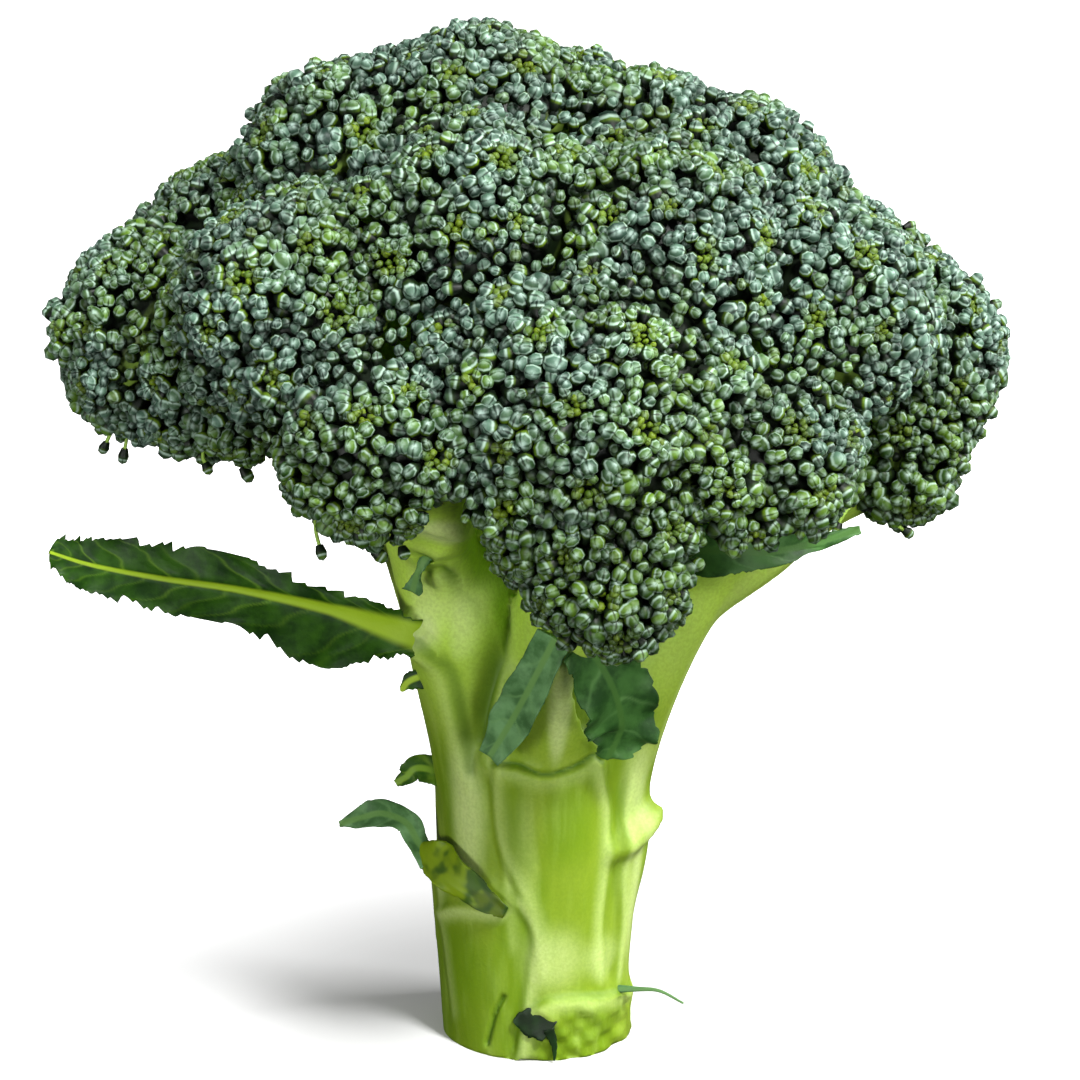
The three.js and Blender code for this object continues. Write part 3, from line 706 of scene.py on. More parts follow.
def remeshed(points, faces, voxel, smoothing):
    """The outer skin of overlapping closed shells as one smooth mesh, cut flat at the cut face."""
    mesh = bpy.data.meshes.new("stalk_rough")
    mesh.from_pydata((points * MM).tolist(), [], faces.tolist())
    rough = bpy.data.objects.new("stalk_rough", mesh)
    bpy.context.scene.collection.objects.link(rough)
    skin = rough.modifiers.new("skin", "REMESH")
    skin.mode = "VOXEL"
    skin.voxel_size = voxel * MM
    smooth = rough.modifiers.new("smooth", "SMOOTH")
    smooth.factor = 0.5
    smooth.iterations = smoothing
    result = bpy.data.meshes.new_from_object(rough.evaluated_get(bpy.context.evaluated_depsgraph_get()))
    bpy.data.objects.remove(rough)
    body = bmesh.new()
    body.from_mesh(result)
    everything = body.verts[:] + body.edges[:] + body.faces[:]
    bmesh.ops.bisect_plane(body, geom=everything, plane_co=(0, 0, 0), plane_no=(0, 0, 1), clear_inner=True)
    near = near_marks(np.array([v.co for v in body.verts]) / MM)
    body.verts.index_update()
    fine = [edge for edge in body.edges if near[edge.verts[0].index] and near[edge.verts[1].index]]
    bmesh.ops.subdivide_edges(body, edges=fine, cuts=1, use_grid_fill=True)
    rim = [edge for edge in body.edges if edge.is_boundary]
    bmesh.ops.holes_fill(body, edges=rim)
    bmesh.ops.triangulate(body, faces=body.faces[:])
    body.verts.index_update()
    skin_points = np.array([v.co for v in body.verts]) / MM
    skin_faces = np.array([[v.index for v in f.verts] for f in body.faces])
    body.free()
    return skin_points, skin_faces


def unrolled(points, azimuth, about):
    """Points of the trunk laid flat: length round it from a line's own azimuth, and height."""
    near = turned(azimuth, about) + about
    return np.column_stack([np.radians(near) * MEAN_RADIUS, points[:, 2]])


def mark_distance(points, path):
    """Distance to a mark, and how far to its left each point lies."""
    curve = spline(path, 12 * len(path))
    line = np.column_stack([np.radians(curve[:, 0]) * MEAN_RADIUS, curve[:, 1]])
    flat = unrolled(points, azimuths(points), curve[:, 0].mean())
    run = np.diff(line, axis=0)
    apart = flat[:, None] - line[:-1]
    share = np.clip((apart * run).sum(2) / (run * run).sum(1), 0, 1)
    away = np.linalg.norm(apart - share[:, :, None] * run, axis=2)
    nearest = away.argmin(1)
    pick = np.arange(len(points)), nearest
    way, side = unit(run)[nearest], apart[pick]
    return away[pick], way[:, 0] * side[:, 1] - way[:, 1] * side[:, 0]


def facing_out(points, normals):
    """How squarely the stalk's outside looks away from its axis, in the heights that carry marks."""
    facing = (from_axis(points) * normals[:, :2]).sum(1)
    return smoothstep(0.3, 0.6, facing) * smoothstep(MARKS_TOP, MARKS_TOP - 4, points[:, 2])


def near_marks(points):
    near = np.zeros(len(points), bool)
    for path, *_ in MARKS:
        near |= mark_distance(points, path)[0] < FINE_MARGIN
    reach = np.hypot(points[:, 0], points[:, 1])
    return near & (reach > 10) & (points[:, 1] < 8) & (points[:, 2] < MARKS_TOP)


def mark_relief(points, normals):
    """How far each point moves outwards, how dark the marks make it with painted shade in their grooves, and
    how pale, partly bloom and partly painted highlight, on their proud sides.
    """
    offset, dark, pale = np.zeros(len(points)), np.zeros(len(points)), np.zeros(len(points))
    for path, depth, width, proud, light, shade in MARKS:
        distance, across = mark_distance(points, path)
        across *= np.sign(proud)
        raised = smoothstep(-0.7, 0.7, across) * smoothstep(MARK_FALL, 0, distance)
        cut = np.exp(-((distance / width) ** 2))
        offset += abs(proud) * raised - depth * cut
        dark = np.maximum(dark, shade * cut)
        pale = np.maximum(pale, light * smoothstep(0.2, 1.4, across) * smoothstep(3.6, 1.0, distance))
    share = facing_out(points, normals)
    return offset * share, dark * share, pale * share


def stalk_washes(points):
    azimuth = azimuths(points)
    wash = np.zeros(len(points))
    for middle, height, wide, high, amount in WASHES:
        off = np.hypot(turned(azimuth, middle) / wide, (points[:, 2] - height) / high)
        wash += amount * smoothstep(1.25, 0.2, off)
    return wash


def scar_lumps(points):
    """The leaf scar at the foot is uneven."""
    inside = smoothstep(38, 26, np.abs(azimuths(points) - 30)) * smoothstep(9.5, 7.5, points[:, 2])
    x, z = points[:, 0], points[:, 2]
    wave = np.sin(x * 0.9 + 1.3 * np.sin(z * 0.8)) + 0.6 * np.sin(x * 1.9 + z * 1.4 + 1)
    wave += 0.5 * np.sin(z * 2.3 - x * 0.7)
    return SCAR_RELIEF * wave * inside


CLEFT_BRANCH = [(-13.5, -9, 76), (-14, -17, 85), (-13.6, -26, 92), (-13, -32, 98)]
BRANCH_RADII = [5.6, 4.6, 4.5]
BRANCH_FLARE = (0.36, 0.55)
BRANCH_SAG = 0.06


# Raised ridges on the stalk, x, y, z and radius along each: the edge of the torn upper leaf, the lip over it,
# and the long leaf's root
RIDGES = [
    [(-17.8, -18, 81, 0.9), (-16.2, -21.3, 83.4, 1.4), (-13.6, -23, 84.8, 1.5), (-11, -21.2, 84.8, 1.3)],
    [(-18, -28.5, 92, 1.4), (-15.4, -28.6, 89.9, 1.6), (-13, -27.8, 88.8, 1.6), (-10.6, -25, 87.6, 1.4)],
    [(-12.6, -12, 62.6, 1.2), (-15.8, -13, 65.6, 2.6), (-19.4, -13.2, 68.6, 2.9), (-24.5, -14.4, 70.8, 1.5)],
]


def stalk_shells(florets):
    shells = Shells()
    shells.add(*trunk_shell())
    for rows in LIMBS.values():
        rows = spline(rows, 40)
        shells.add(*tube(rows[:, :3], rows[:, 3], 26)[:2])
    for floret in florets:
        end = floret["centre"] - floret["axis"] * 0.35 * floret["radius"]
        bend = (floret["start"] + end) / 2 - np.array([0, 0, BRANCH_SAG * floret["radius"]])
        path = spline([floret["start"], bend, end], 18)
        flare = [share * floret["radius"] for share in BRANCH_FLARE]
        radii = spline([[r] for r in BRANCH_RADII + flare], 18)[:, 0]
        shells.add(*tube(path, radii, 18)[:2])
    shells.add(*tube(spline(CLEFT_BRANCH, 24), np.linspace(5.5, 3, 24), 18)[:2])
    for rows in RIDGES:
        rows = spline(rows, 30)
        shells.add(*tube(rows[:, :3], rows[:, 3], 14)[:2])
    for base in (FRONT_RIB, RIGHT_LIP):
        shells.add(*blade(base, 50, 16)[:2])
    return shells.arrays()[:2]


# Leaf bases of the stalk's own green. Each is a blade as the leaves are.
FRONT_RIB = dict(
    path=[(2, -13, 44), (1.8, -15.6, 49), (1.9, -18, 55), (2.4, -22, 62), (3.2, -26.4, 69)],
    over=[7, 9, 5.4, 3, 2], under=[7, 9, 5.4, 3, 2], face=(0, -0.96, 0.28), rib=(5, 3), thickness=1.6,
    cup=-0.15,
)
CURL_BASE = dict(
    path=[(-18.9, -6.5, 33), (-17, -10.4, 30.8), (-12, -14.8, 28.2), (-5.4, -16.9, 25)],
    over=[0.3, 1.8, 1.7, 0.9], under=[0.5, 4.6, 3.8, 1.4], face=(-0.5, -0.8, 0.3), rib=(1.6, 1.2),
    thickness=0.8, ruffle=0.5, waves=2.4, teeth=0.4, notches=5, cup=0.1,
)
TORN_END = (0.72, 0.8)  # where the curled leaf's base turns dark, as shares of its length
TORN_SHADE = 0.65
SCRAP_LIFT = 0.85
# Dark scraps of leaf that stick to the trunk: azimuth and height along each
SCRAPS = [
    dict(places=[(-13, 7), (-8, 7), (-1, 6.6), (6, 5.2)],
         over=[0.4, 1.9, 2.6, 1.6], under=[0.4, 1.9, 2.5, 2.4],
         face=(0, -1, 0.1), rib=(0.6, 0.6), teeth=0.4, notches=4, ruffle=0.15, waves=2),
    dict(places=[(6, 6), (9, 3.2), (9.5, 0.6)], over=[1, 0.5, 0.2], under=[1, 0.6, 0.2],
         face=(0, -1, 0.1), rib=(0.6, 0.6), teeth=0.2, notches=4),
]
RIGHT_LIP = dict(
    path=[(10.5, -12.5, 33), (14.2, -10.6, 34.4), (17.4, -7.4, 36.4), (18.6, -5, 38.6)],
    over=[1.2, 1.6, 1.7, 0.9], under=[1.4, 2.2, 2.1, 1.2], face=(0.6, -0.75, 0.25), rib=(3.4, 2.6),
    thickness=2,
)


def vertex_normals(points, faces):
    corners = points[faces]
    across = np.cross(corners[:, 1] - corners[:, 0], corners[:, 2] - corners[:, 0])
    normals = np.zeros_like(points)
    for k in range(3):
        np.add.at(normals, faces[:, k], across)
    return unit(normals + 1e-12)


def stalk_piece(florets, material):
    points, faces = remeshed(*stalk_shells(florets), VOXEL, SMOOTHING)
    offset, groove, pale = mark_relief(points, vertex_normals(points, faces))
    wash = stalk_washes(points)
    points[:, :2] += from_axis(points) * (offset + scar_lumps(points))[:, None]
    shells = Shells("groove", "pale", "flap", "wash", "scrap")
    shells.add(points, faces, groove=groove, pale=pale, wash=wash)
    base_points, base_faces, values = blade(CURL_BASE, 70, 26)
    ragged = 0.04 * np.sin(base_points[:, 2] * 2.2 + base_points[:, 0] * 1.6)
    torn = smoothstep(*TORN_END, values["along"] + ragged)
    shells.add(base_points, base_faces, flap=1.0, scrap=TORN_SHADE * torn)
    for scrap in SCRAPS:
        azimuth, z = np.array(scrap.pop("places"), float).T
        shells.add(*blade(dict(path=trunk_points(azimuth, z, SCRAP_LIFT), **scrap), 50, 18)[:2], scrap=1.0)
    points, faces, values = shells.arrays()
    return make_piece("stalk_skin", points, faces, values, material, ["stalk"])


# Leaves

# path: x, y, z along the midrib from the root; over and under: half widths on its two sides at the path's
# points; round_from: where the tip's rounding starts; face: the way the blade looks; rib: its thickness at
# root and tip; rib_widths: its half width along the blade; rib_shift: how far it starts off the middle;
# teeth: depth of the notches in the edge; cup: how far the edges bend towards the face, over the width.
LEAVES = {
    "leaf_long": dict(
        path=[(-12, -10, 65.2), (-21, -15.3, 69.5), (-31.5, -15, 73), (-45, -13.2, 75.6),
              (-58, -11, 77), (-68, -9.5, 78.6), (-74.4, -8, 80.2)],
        over=[2.2, 3.6, 3.5, 5.2, 6, 4.4, 3.6], under=[1.4, 4.4, 9.2, 5.8, 5.4, 4.2, 2.8], round_from=0.95,
        rib_widths=[3.6, 2.4, 1.0, 0.6, 0.45, 0.35, 0.25], rib_shift=0.8,
        face=(0, -0.93, 0.36), rib=(3.4, 1), teeth=2.1, cup=0.12, ruffle=0.5, waves=7, notches=24, veins=12,
        rows=190, columns=52, look="dark",
    ),
    "leaf_front_left": dict(
        path=[(2.4, -28.4, 72.8), (-1.5, -25.5, 64), (-4.2, -22.8, 58), (-7.4, -20.9, 52)],
        over=[2.9, 3.4, 3.4, 1.8], under=[2.6, 3.2, 3.4, 2], face=(-0.3, -0.9, 0.3), rib=(1, 0.9), teeth=0.25,
        cup=0.25, ruffle=0.4, waves=3, notches=5, veins=4, rows=80, columns=28, look="torn",
    ),
    "leaf_front_right": dict(
        path=[(6.4, -27.8, 72.4), (10.5, -25.6, 64.6), (12, -23.2, 58.5), (11.6, -21.8, 55.4),
              (10, -20.9, 51.6)],
        over=[5, 6.2, 6.2, 4.6, 1.8], under=[4.2, 6, 5.8, 5.2, 0.5], face=(0.25, -0.9, 0.3), rib=(1, 0.9),
        teeth=1.1, cup=0.2, ruffle=0.7, waves=3.5, notches=8, veins=4, rows=90, columns=40, look="deep",
    ),
    "leaf_curl": dict(
        path=[(-16.6, -9, 31), (-18.9, -7.4, 33), (-20.9, -6, 35.8), (-24.6, -5, 37),
              (-28, -4.2, 36), (-31.3, -3.6, 34.8)],
        over=[1.8, 1.8, 2.2, 2.4, 2.0, 0.5], under=[2.6, 1.9, 1.8, 2.2, 1.7, 0.5], face=(0.1, -0.8, 0.6),
        rib=(1.2, 0.9), teeth=0.3, cup=0.2, ruffle=0.4, waves=3, notches=7, veins=5, rows=80, columns=24,
        look="torn",
    ),
    "leaf_torn_left": dict(
        path=[(-13, -4.5, 43), (-18.8, -4.4, 44.4), (-20.9, -4.2, 42.8), (-22.4, -4, 41.8)],
        over=[2.4, 2.2, 1.4, 0.7], under=[2.4, 2.2, 1.3, 0.7], face=(0, -0.9, 0.4), rib=(1.1, 0.9), teeth=0.3,
        cup=0.2, ruffle=0.4, waves=2, notches=5, veins=3, rows=50, columns=20, look="fresh",
    ),
    "leaf_right": dict(
        path=[(13.5, -10, 81), (19, -19.5, 83.6), (26, -24.5, 85), (33, -24, 84.6), (40, -19.5, 84.6),
              (47.5, -16, 86)],
        over=[1.5, 3, 4, 2.6, 1.6, 0.9], under=[1.5, 3, 4.2, 3.8, 1.6, 0.8], face=(0.15, -0.95, 0.2),
        rib=(1.4, 0.9), teeth=0.8, cup=0.2, ruffle=0.3, waves=3, notches=12, veins=6, rows=110, columns=28,
        look="deep",
    ),
    "leaf_torn_upper": dict(
        path=[(-14.4, -17.2, 83), (-16.4, -20, 82.9), (-17.9, -20.2, 80.6), (-18.8, -19, 77.2)],
        over=[1, 1, 0.7, 1.8], under=[1, 1, 0.8, 1.7], face=(-0.3, -0.9, 0.3), rib=(1, 0.9), teeth=0.7,
        cup=0.2, ruffle=0.4, waves=2, notches=4, veins=2, rows=40, columns=18, look="torn",
    ),
    "leaf_shred": dict(
        path=[(10, -9, 9.4), (15.2, -11, 10.2), (18.7, -12, 10.3), (22.4, -12.4, 8.4)],
        over=[0.8, 0.4, 0.26, 0.16], under=[0.8, 0.4, 0.26, 0.16], face=(0.3, -0.9, 0.3), rib=(0.7, 0.5),
        rows=40, columns=10, look="blue",
    ),
}
BLADE_THICKNESS = 0.6
VEIN_LEAD = -0.13  # how far along the blade a side vein has run when it meets the edge
VEIN_WIDTH = 0.24


def blade(leaf, rows, columns):
    """A thin closed blade along its midrib, with notches, waves, a rib and side veins."""
    guide = np.column_stack([leaf["path"], leaf["over"], leaf["under"]])
    guide = spline(guide, rows)
    centre = guide[:, :3]
    length = np.linalg.norm(np.diff(centre, axis=0), axis=1).sum()
    t = np.linspace(0, 1, rows)
    tangent = unit(np.gradient(centre, axis=0))
    across = unit(np.cross(tangent, leaf["face"]))
    normal = np.cross(across, tangent)
    s = np.linspace(-1, 1, columns)
    width = np.where(s[None] > 0, guide[:, 3:4], guide[:, 4:5]).clip(0.15)
    if "round_from" in leaf:
        end = np.clip((t - leaf["round_from"]) / (1 - leaf["round_from"]), 0, 1)
        width = width * np.sqrt(1 - 0.99 * end**2)[:, None]
    edge = np.abs(s)[None]
    notches = leaf.get("notches", 0)
    notch = np.zeros((rows, columns))
    for sign in (-1, 1):
        drift = rng.uniform(0, 1) + 0.7 * np.sin(t * 9 + rng.uniform(*ANY_PHASE))
        drift += 0.25 * np.sin(t * 31 + rng.uniform(*ANY_PHASE))
        large = ((t * notches * 0.55 + drift) % 1) ** 1.4
        small = (t * notches * 1.5 + 2 * drift) % 1
        depth = 0.6 + 0.4 * np.sin(t * 23 + rng.uniform(*ANY_PHASE))
        notch += np.where(s[None] * sign > 0, (depth * (0.65 * large + 0.35 * small))[:, None], 0)
    reach = width - leaf.get("teeth", 0) * notch * edge**4
    waves = leaf.get("waves", 0)
    ruffle = np.where(
        s[None] > 0,
        np.sin(2 * math.pi * waves * t + 1)[:, None],
        np.sin(2 * math.pi * waves * t * 1.15 + 4)[:, None],
    )
    lift = leaf.get("cup", 0) * width * edge**2 + leaf.get("ruffle", 0) * ruffle * edge**2
    vein = np.zeros((rows, columns))
    puff = np.zeros((rows, columns))
    veins = leaf.get("veins", 0)
    if veins:
        starts = (np.arange(-1, veins) + 0.5) / veins
        for sign in (-1, 1):
            line = starts + rng.uniform(-0.02, 0.02, len(starts)) + 0.02 * sign
            strength = rng.uniform(0.35, 1, len(starts))
            bend = 0.008 * np.sin(edge * 11 + rng.uniform(*ANY_PHASE, len(starts))[:, None, None])
            meets = line[:, None, None] - VEIN_LEAD * edge**1.3 + bend
            gaps = np.abs(t[None, :, None] - meets)
            nearest = gaps.argmin(0)
            away = gaps.min(0) * length * 0.8
            mine = s[None] * sign > 0
            shown = strength[nearest] * (1 - 0.7 * edge)
            vein = np.where(mine, np.exp(-((away / VEIN_WIDTH) ** 2)) * shown, vein)
            puff = np.where(mine, np.clip(away * veins / length, 0, 0.3), puff)
    rib_share = leaf["rib"][0] + (leaf["rib"][1] - leaf["rib"][0]) * t
    rib_width = 0.35 * rib_share + 0.25
    if "rib_widths" in leaf:
        rib_width = np.interp(t, np.linspace(0, 1, len(leaf["rib_widths"])), leaf["rib_widths"])
    rib_shift = leaf.get("rib_shift", 0) * (1 - t)[:, None] ** 4
    rib = np.exp(-(((s[None] * width - rib_shift) / rib_width[:, None]) ** 2))
    thin = leaf.get("thickness", BLADE_THICKNESS) / 2 * (1 - 0.6 * edge**6)
    ridge = (rib_share[:, None] - BLADE_THICKNESS).clip(0) * rib
    face = lift + thin + 0.5 * puff * (1 - edge**4) * (1 - rib) + 0.3 * ridge
    back = lift - thin + 0.35 * puff * (1 - rib) - 0.5 * ridge
    flat = centre[:, None] + across[:, None] * (s[None] * reach)[:, :, None]
    front = flat + normal[:, None] * face[:, :, None]
    rear = flat + normal[:, None] * back[:, :, None]
    points, faces = closed_rings(np.concatenate([front, rear[:, ::-1]], axis=1))

    def both(value):
        value = np.broadcast_to(value, (rows, columns))
        return np.append(np.concatenate([value, value[:, ::-1]], axis=1).ravel(), [0, 0])

    return points, faces, dict(rib=both(rib), vein=both(vein), along=both(t[:, None]))


# A small lobe under the long leaf's base
LOBE = dict(
    path=[(-12, -10, 63.5), (-17, -10, 61.5), (-20, -9.6, 60.2), (-21.2, -9.4, 58.6)],
    over=[1.4, 1.6, 1.3, 0.3], under=[1.6, 2, 1.6, 0.3], face=(0, -0.93, 0.36), rib=(1, 0.8), teeth=0.5,
    cup=0.1, notches=4, veins=2,
)


def leaf_piece(name, leaf, material):
    shells = Shells("rib", "vein")
    sheets = [blade(leaf, leaf["rows"], leaf["columns"])]
    if name == "leaf_long":
        sheets.append(blade(LOBE, 40, 20))
    for points, faces, values in sheets:
        shells.add(points, faces, **values)
    points, faces, values = shells.arrays()
    return make_piece(name + "_blade", points, faces, values, material, [name])


# Materials

RANGE_SOCKETS = ("From Min", "From Max", "To Min", "To Max")


class Nodes:
    """Short calls for building a material's node tree."""

    def __init__(self, name):
        self.material = bpy.data.materials.new(name)
        self.material.use_nodes = True
        self.tree = self.material.node_tree
        self.shader = self.tree.nodes["Principled BSDF"]

    def link(self, source, socket):
        self.tree.links.new(source, socket)

    def set(self, node, key, value):
        if isinstance(value, bpy.types.NodeSocket):
            self.link(value, node.inputs[key])
        else:
            node.inputs[key].default_value = value

    def attribute(self, name):
        node = self.tree.nodes.new("ShaderNodeAttribute")
        node.attribute_name = name
        return node.outputs["Fac"]

    def place(self):
        node = self.tree.nodes.new("ShaderNodeTexCoord")
        return node.outputs["Object"]

    def height(self):
        node = self.tree.nodes.new("ShaderNodeSeparateXYZ")
        self.link(self.place(), node.inputs[0])
        return node.outputs["Z"]

    def scaled(self, vector, scale):
        node = self.tree.nodes.new("ShaderNodeMapping")
        self.link(vector, node.inputs["Vector"])
        node.inputs["Scale"].default_value = scale
        return node.outputs["Vector"]

    def noise(self, vector, scale, detail=3.0, roughness=0.55):
        node = self.tree.nodes.new("ShaderNodeTexNoise")
        self.link(vector, node.inputs["Vector"])
        node.inputs["Scale"].default_value = scale
        node.inputs["Detail"].default_value = detail
        node.inputs["Roughness"].default_value = roughness
        return node.outputs["Fac"]

    def math(self, operation, a, b=0.0, clamp=False):
        node = self.tree.nodes.new("ShaderNodeMath")
        node.operation = operation
        node.use_clamp = clamp
        self.set(node, 0, a)
        self.set(node, 1, b)
        return node.outputs[0]

    def remap(self, value, low, high, to_low=0.0, to_high=1.0):
        node = self.tree.nodes.new("ShaderNodeMapRange")
        node.interpolation_type = "SMOOTHSTEP"
        self.link(value, node.inputs["Value"])
        for key, number in zip(RANGE_SOCKETS, (low, high, to_low, to_high)):
            node.inputs[key].default_value = number
        return node.outputs["Result"]

    def mix(self, factor, a, b, blend="MIX"):
        node = self.tree.nodes.new("ShaderNodeMix")
        node.data_type = "RGBA"
        node.blend_type = blend
        self.set(node, 0, factor)
        self.set(node, 6, a)
        self.set(node, 7, b)
        return node.outputs[2]

    def finish(self, tint, roughness, specular):
        self.set(self.shader, "Base Color", tint)
        self.shader.inputs["Roughness"].default_value = roughness
        self.shader.inputs["Specular IOR Level"].default_value = specular

    def bump(self, height, strength, distance):
        node = self.tree.nodes.new("ShaderNodeBump")
        node.inputs["Strength"].default_value = strength
        node.inputs["Distance"].default_value = distance * MM
        self.link(height, node.inputs["Height"])
        self.link(node.outputs["Normal"], self.shader.inputs["Normal"])


def colour(red, green, blue):
    """An sRGB colour as the linear values that a shader takes."""
    linear = [(c / 12.92 if c <= 0.04045 else ((c + 0.055) / 1.055) ** 2.4) for c in (red, green, blue)]
    return (*linear, 1.0)


def crown_material():
    n = Nodes("crown_buds")
    age, tone, along = n.attribute("age"), n.attribute("tone"), n.attribute("along")
    seam, stem, depth = n.attribute("seam"), n.attribute("stem"), n.attribute("depth")
    place = n.place()
    patch = n.noise(place, 55, 3)
    fine = n.noise(place, 1300, 2)
    low = n.remap(n.height(), 0.12, 0.08)
    teal = n.mix(tone, colour(0.07, 0.17, 0.13), colour(0.34, 0.47, 0.39))
    green = n.mix(tone, colour(0.11, 0.25, 0.03), colour(0.38, 0.53, 0.10))
    leafy = n.math("ADD", patch, n.math("MULTIPLY", low, 0.26))
    face = n.mix(n.remap(leafy, 0.45, 0.63), teal, green)
    # Paler tips: partly the buds' own waxy bloom, partly a painted highlight on their tips.
    wax_and_highlight = n.math("MULTIPLY", n.remap(along, 0.82, 1.0), n.remap(fine, 0.38, 0.62, 0.1, 0.8))
    waxed_and_highlit = n.mix(wax_and_highlight, face, colour(0.78, 0.89, 0.84))
    # A pale band round each bud's shoulder is a painted highlight.
    edge = n.math("MULTIPLY", n.remap(along, 0.58, 0.63), n.remap(along, 0.76, 0.66, 0.0, 0.75))
    edge_highlighted = n.mix(edge, waxed_and_highlit, colour(0.75, 0.87, 0.79))
    # Pale bands beside each seam are a painted highlight.
    rim = n.math("MULTIPLY", n.remap(seam, 0.2, 0.5), n.remap(seam, 0.8, 0.6, 0.0, 0.15))
    seam_highlighted = n.mix(rim, edge_highlighted, colour(0.72, 0.83, 0.76))
    ripe = n.remap(n.noise(place, 170, 2), 0.46, 0.6)
    side = n.mix(ripe, colour(0.10, 0.20, 0.03), colour(0.40, 0.53, 0.03))
    grown = n.mix(n.remap(along, 0.55, 0.66), side, seam_highlighted)
    centre = n.mix(tone, colour(0.46, 0.56, 0.05), colour(0.30, 0.42, 0.05))
    bud = n.mix(n.remap(age, 0.1, 0.7), centre, grown)
    # Bud bases go near black: painted shade between the buds.
    shaded = n.mix(n.remap(along, 0.42, 0.58), colour(0.005, 0.03, 0.005), bud)
    # Dark seam lines: the seam itself, deepened with painted shade in its crease.
    line = n.math("MULTIPLY", n.remap(seam, 0.72, 1.0, 0.0, 0.9), n.remap(along, 0.4, 0.7, 0.3, 1.0))
    seamed = n.mix(line, shaded, colour(0.01, 0.05, 0.01))
    # The lower crown darkens: painted shade under the head.
    low_shaded = n.mix(n.math("MULTIPLY", low, 0.4), seamed, colour(0.06, 0.14, 0.01))
    # Deeper buds darken: painted shade inside the crown.
    sunk = n.mix(depth, colour(0.02, 0.07, 0.005), low_shaded)
    stalk = n.mix(n.remap(along, 0.2, 1.0), colour(0.56, 0.70, 0.28), colour(0.24, 0.40, 0.08))
    n.finish(n.mix(stem, sunk, stalk), 0.5, 0.3)
    n.bump(fine, 0.25, 0.15)
    return n.material


def stalk_material():
    n = Nodes("stalk_skin")
    groove, pale, flap = n.attribute("groove"), n.attribute("pale"), n.attribute("flap")
    wash, scrap = n.attribute("wash"), n.attribute("scrap")
    place = n.place()
    height = n.height()
    broad = n.noise(n.scaled(place, (1.0, 1.0, 0.3)), 95, 4)
    streak = n.noise(n.scaled(place, (1.0, 1.0, 0.12)), 420, 3)
    grain = n.noise(place, 1900, 2)
    deep = n.mix(n.remap(broad, 0.38, 0.66), colour(0.41, 0.53, 0.04), colour(0.51, 0.61, 0.15))
    # Painted light: the trunk's colour lightens towards the crown, making up for the crown's shade on it.
    body = n.mix(n.remap(height, 0.045, 0.075), deep, colour(0.72, 0.86, 0.31))
    # Washes: partly the stalk's own bloom and deep green, partly painted highlight and painted shade on its
    # ridges.
    washed = n.mix(n.remap(wash, 0.0, 1.0, 0.0, 0.85), body, colour(0.80, 0.87, 0.56))
    washed = n.mix(n.remap(wash, 0.0, -1.0, 0.0, 0.8), washed, colour(0.40, 0.53, 0.02))
    streaked = n.mix(n.remap(streak, 0.45, 0.75, 0.0, 0.25), washed, colour(0.66, 0.76, 0.36))
    # Proud sides of marks are paler: partly bloom, partly a painted highlight.
    bloom_and_highlight = n.mix(n.math("MULTIPLY", pale, 0.8), streaked, colour(0.80, 0.88, 0.54))
    grained = n.mix(n.remap(grain, 0.3, 0.75, 0.0, 0.22), bloom_and_highlight, colour(0.36, 0.50, 0.10))
    # Grooves are darker: painted shade in them.
    lined = n.mix(groove, grained, colour(0.28, 0.42, 0.03))
    patch = n.noise(place, 240, 2)
    flaps = n.mix(n.remap(patch, 0.42, 0.6), colour(0.46, 0.56, 0.04), colour(0.22, 0.34, 0.03))
    dressed = n.mix(flap, lined, flaps)
    leafy = n.mix(n.remap(patch, 0.4, 0.65), colour(0.04, 0.11, 0.02), colour(0.09, 0.19, 0.06))
    n.finish(n.mix(scrap, dressed, leafy), 0.5, 0.25)
    n.shader.inputs["Subsurface Weight"].default_value = 0.15
    n.shader.inputs["Subsurface Radius"].default_value = (0.004, 0.006, 0.001)
    n.shader.inputs["Subsurface Scale"].default_value = 0.5
    n.bump(grain, 0.3, 0.15)
    return n.material


# Each look of a blade: its flesh in two tones, its veins and its midrib
LOOKS = {
    "dark": (colour(0.06, 0.19, 0.005), colour(0.17, 0.33, 0.02),
             colour(0.40, 0.56, 0.12), colour(0.58, 0.70, 0.14)),
    "deep": (colour(0.11, 0.24, 0.08), colour(0.23, 0.39, 0.17),
             colour(0.38, 0.55, 0.30), colour(0.24, 0.39, 0.16)),
    "blue": (colour(0.18, 0.32, 0.20), colour(0.27, 0.42, 0.28),
             colour(0.34, 0.49, 0.32), colour(0.33, 0.48, 0.27)),
    "torn": (colour(0.24, 0.39, 0.21), colour(0.40, 0.57, 0.36),
             colour(0.43, 0.60, 0.36), colour(0.38, 0.54, 0.28)),
    "fresh": (colour(0.16, 0.30, 0.05), colour(0.36, 0.50, 0.10),
              colour(0.46, 0.59, 0.18), colour(0.42, 0.56, 0.14)),
}


def leaf_material(look):
    n = Nodes("leaf_" + look)
    dark, light, vein_colour, rib_colour = LOOKS[look]
    rib, vein = n.attribute("rib"), n.attribute("vein")
    place = n.place()
    mottle = n.noise(place, 260, 4)
    fine = n.noise(place, 1300, 3)
    flesh = n.mix(n.remap(mottle, 0.35, 0.68), dark, light)
    flesh = n.mix(n.remap(fine, 0.5, 0.8, 0.0, 0.35), flesh, light)
    veined = n.mix(n.math("MULTIPLY", vein, 0.8), flesh, vein_colour)
    ribbed = n.mix(n.remap(rib, 0.25, 0.8), veined, rib_colour)
    n.finish(ribbed, 0.5, 0.2)
    n.bump(fine, 0.3, 0.2)
    return n.material


# Scene

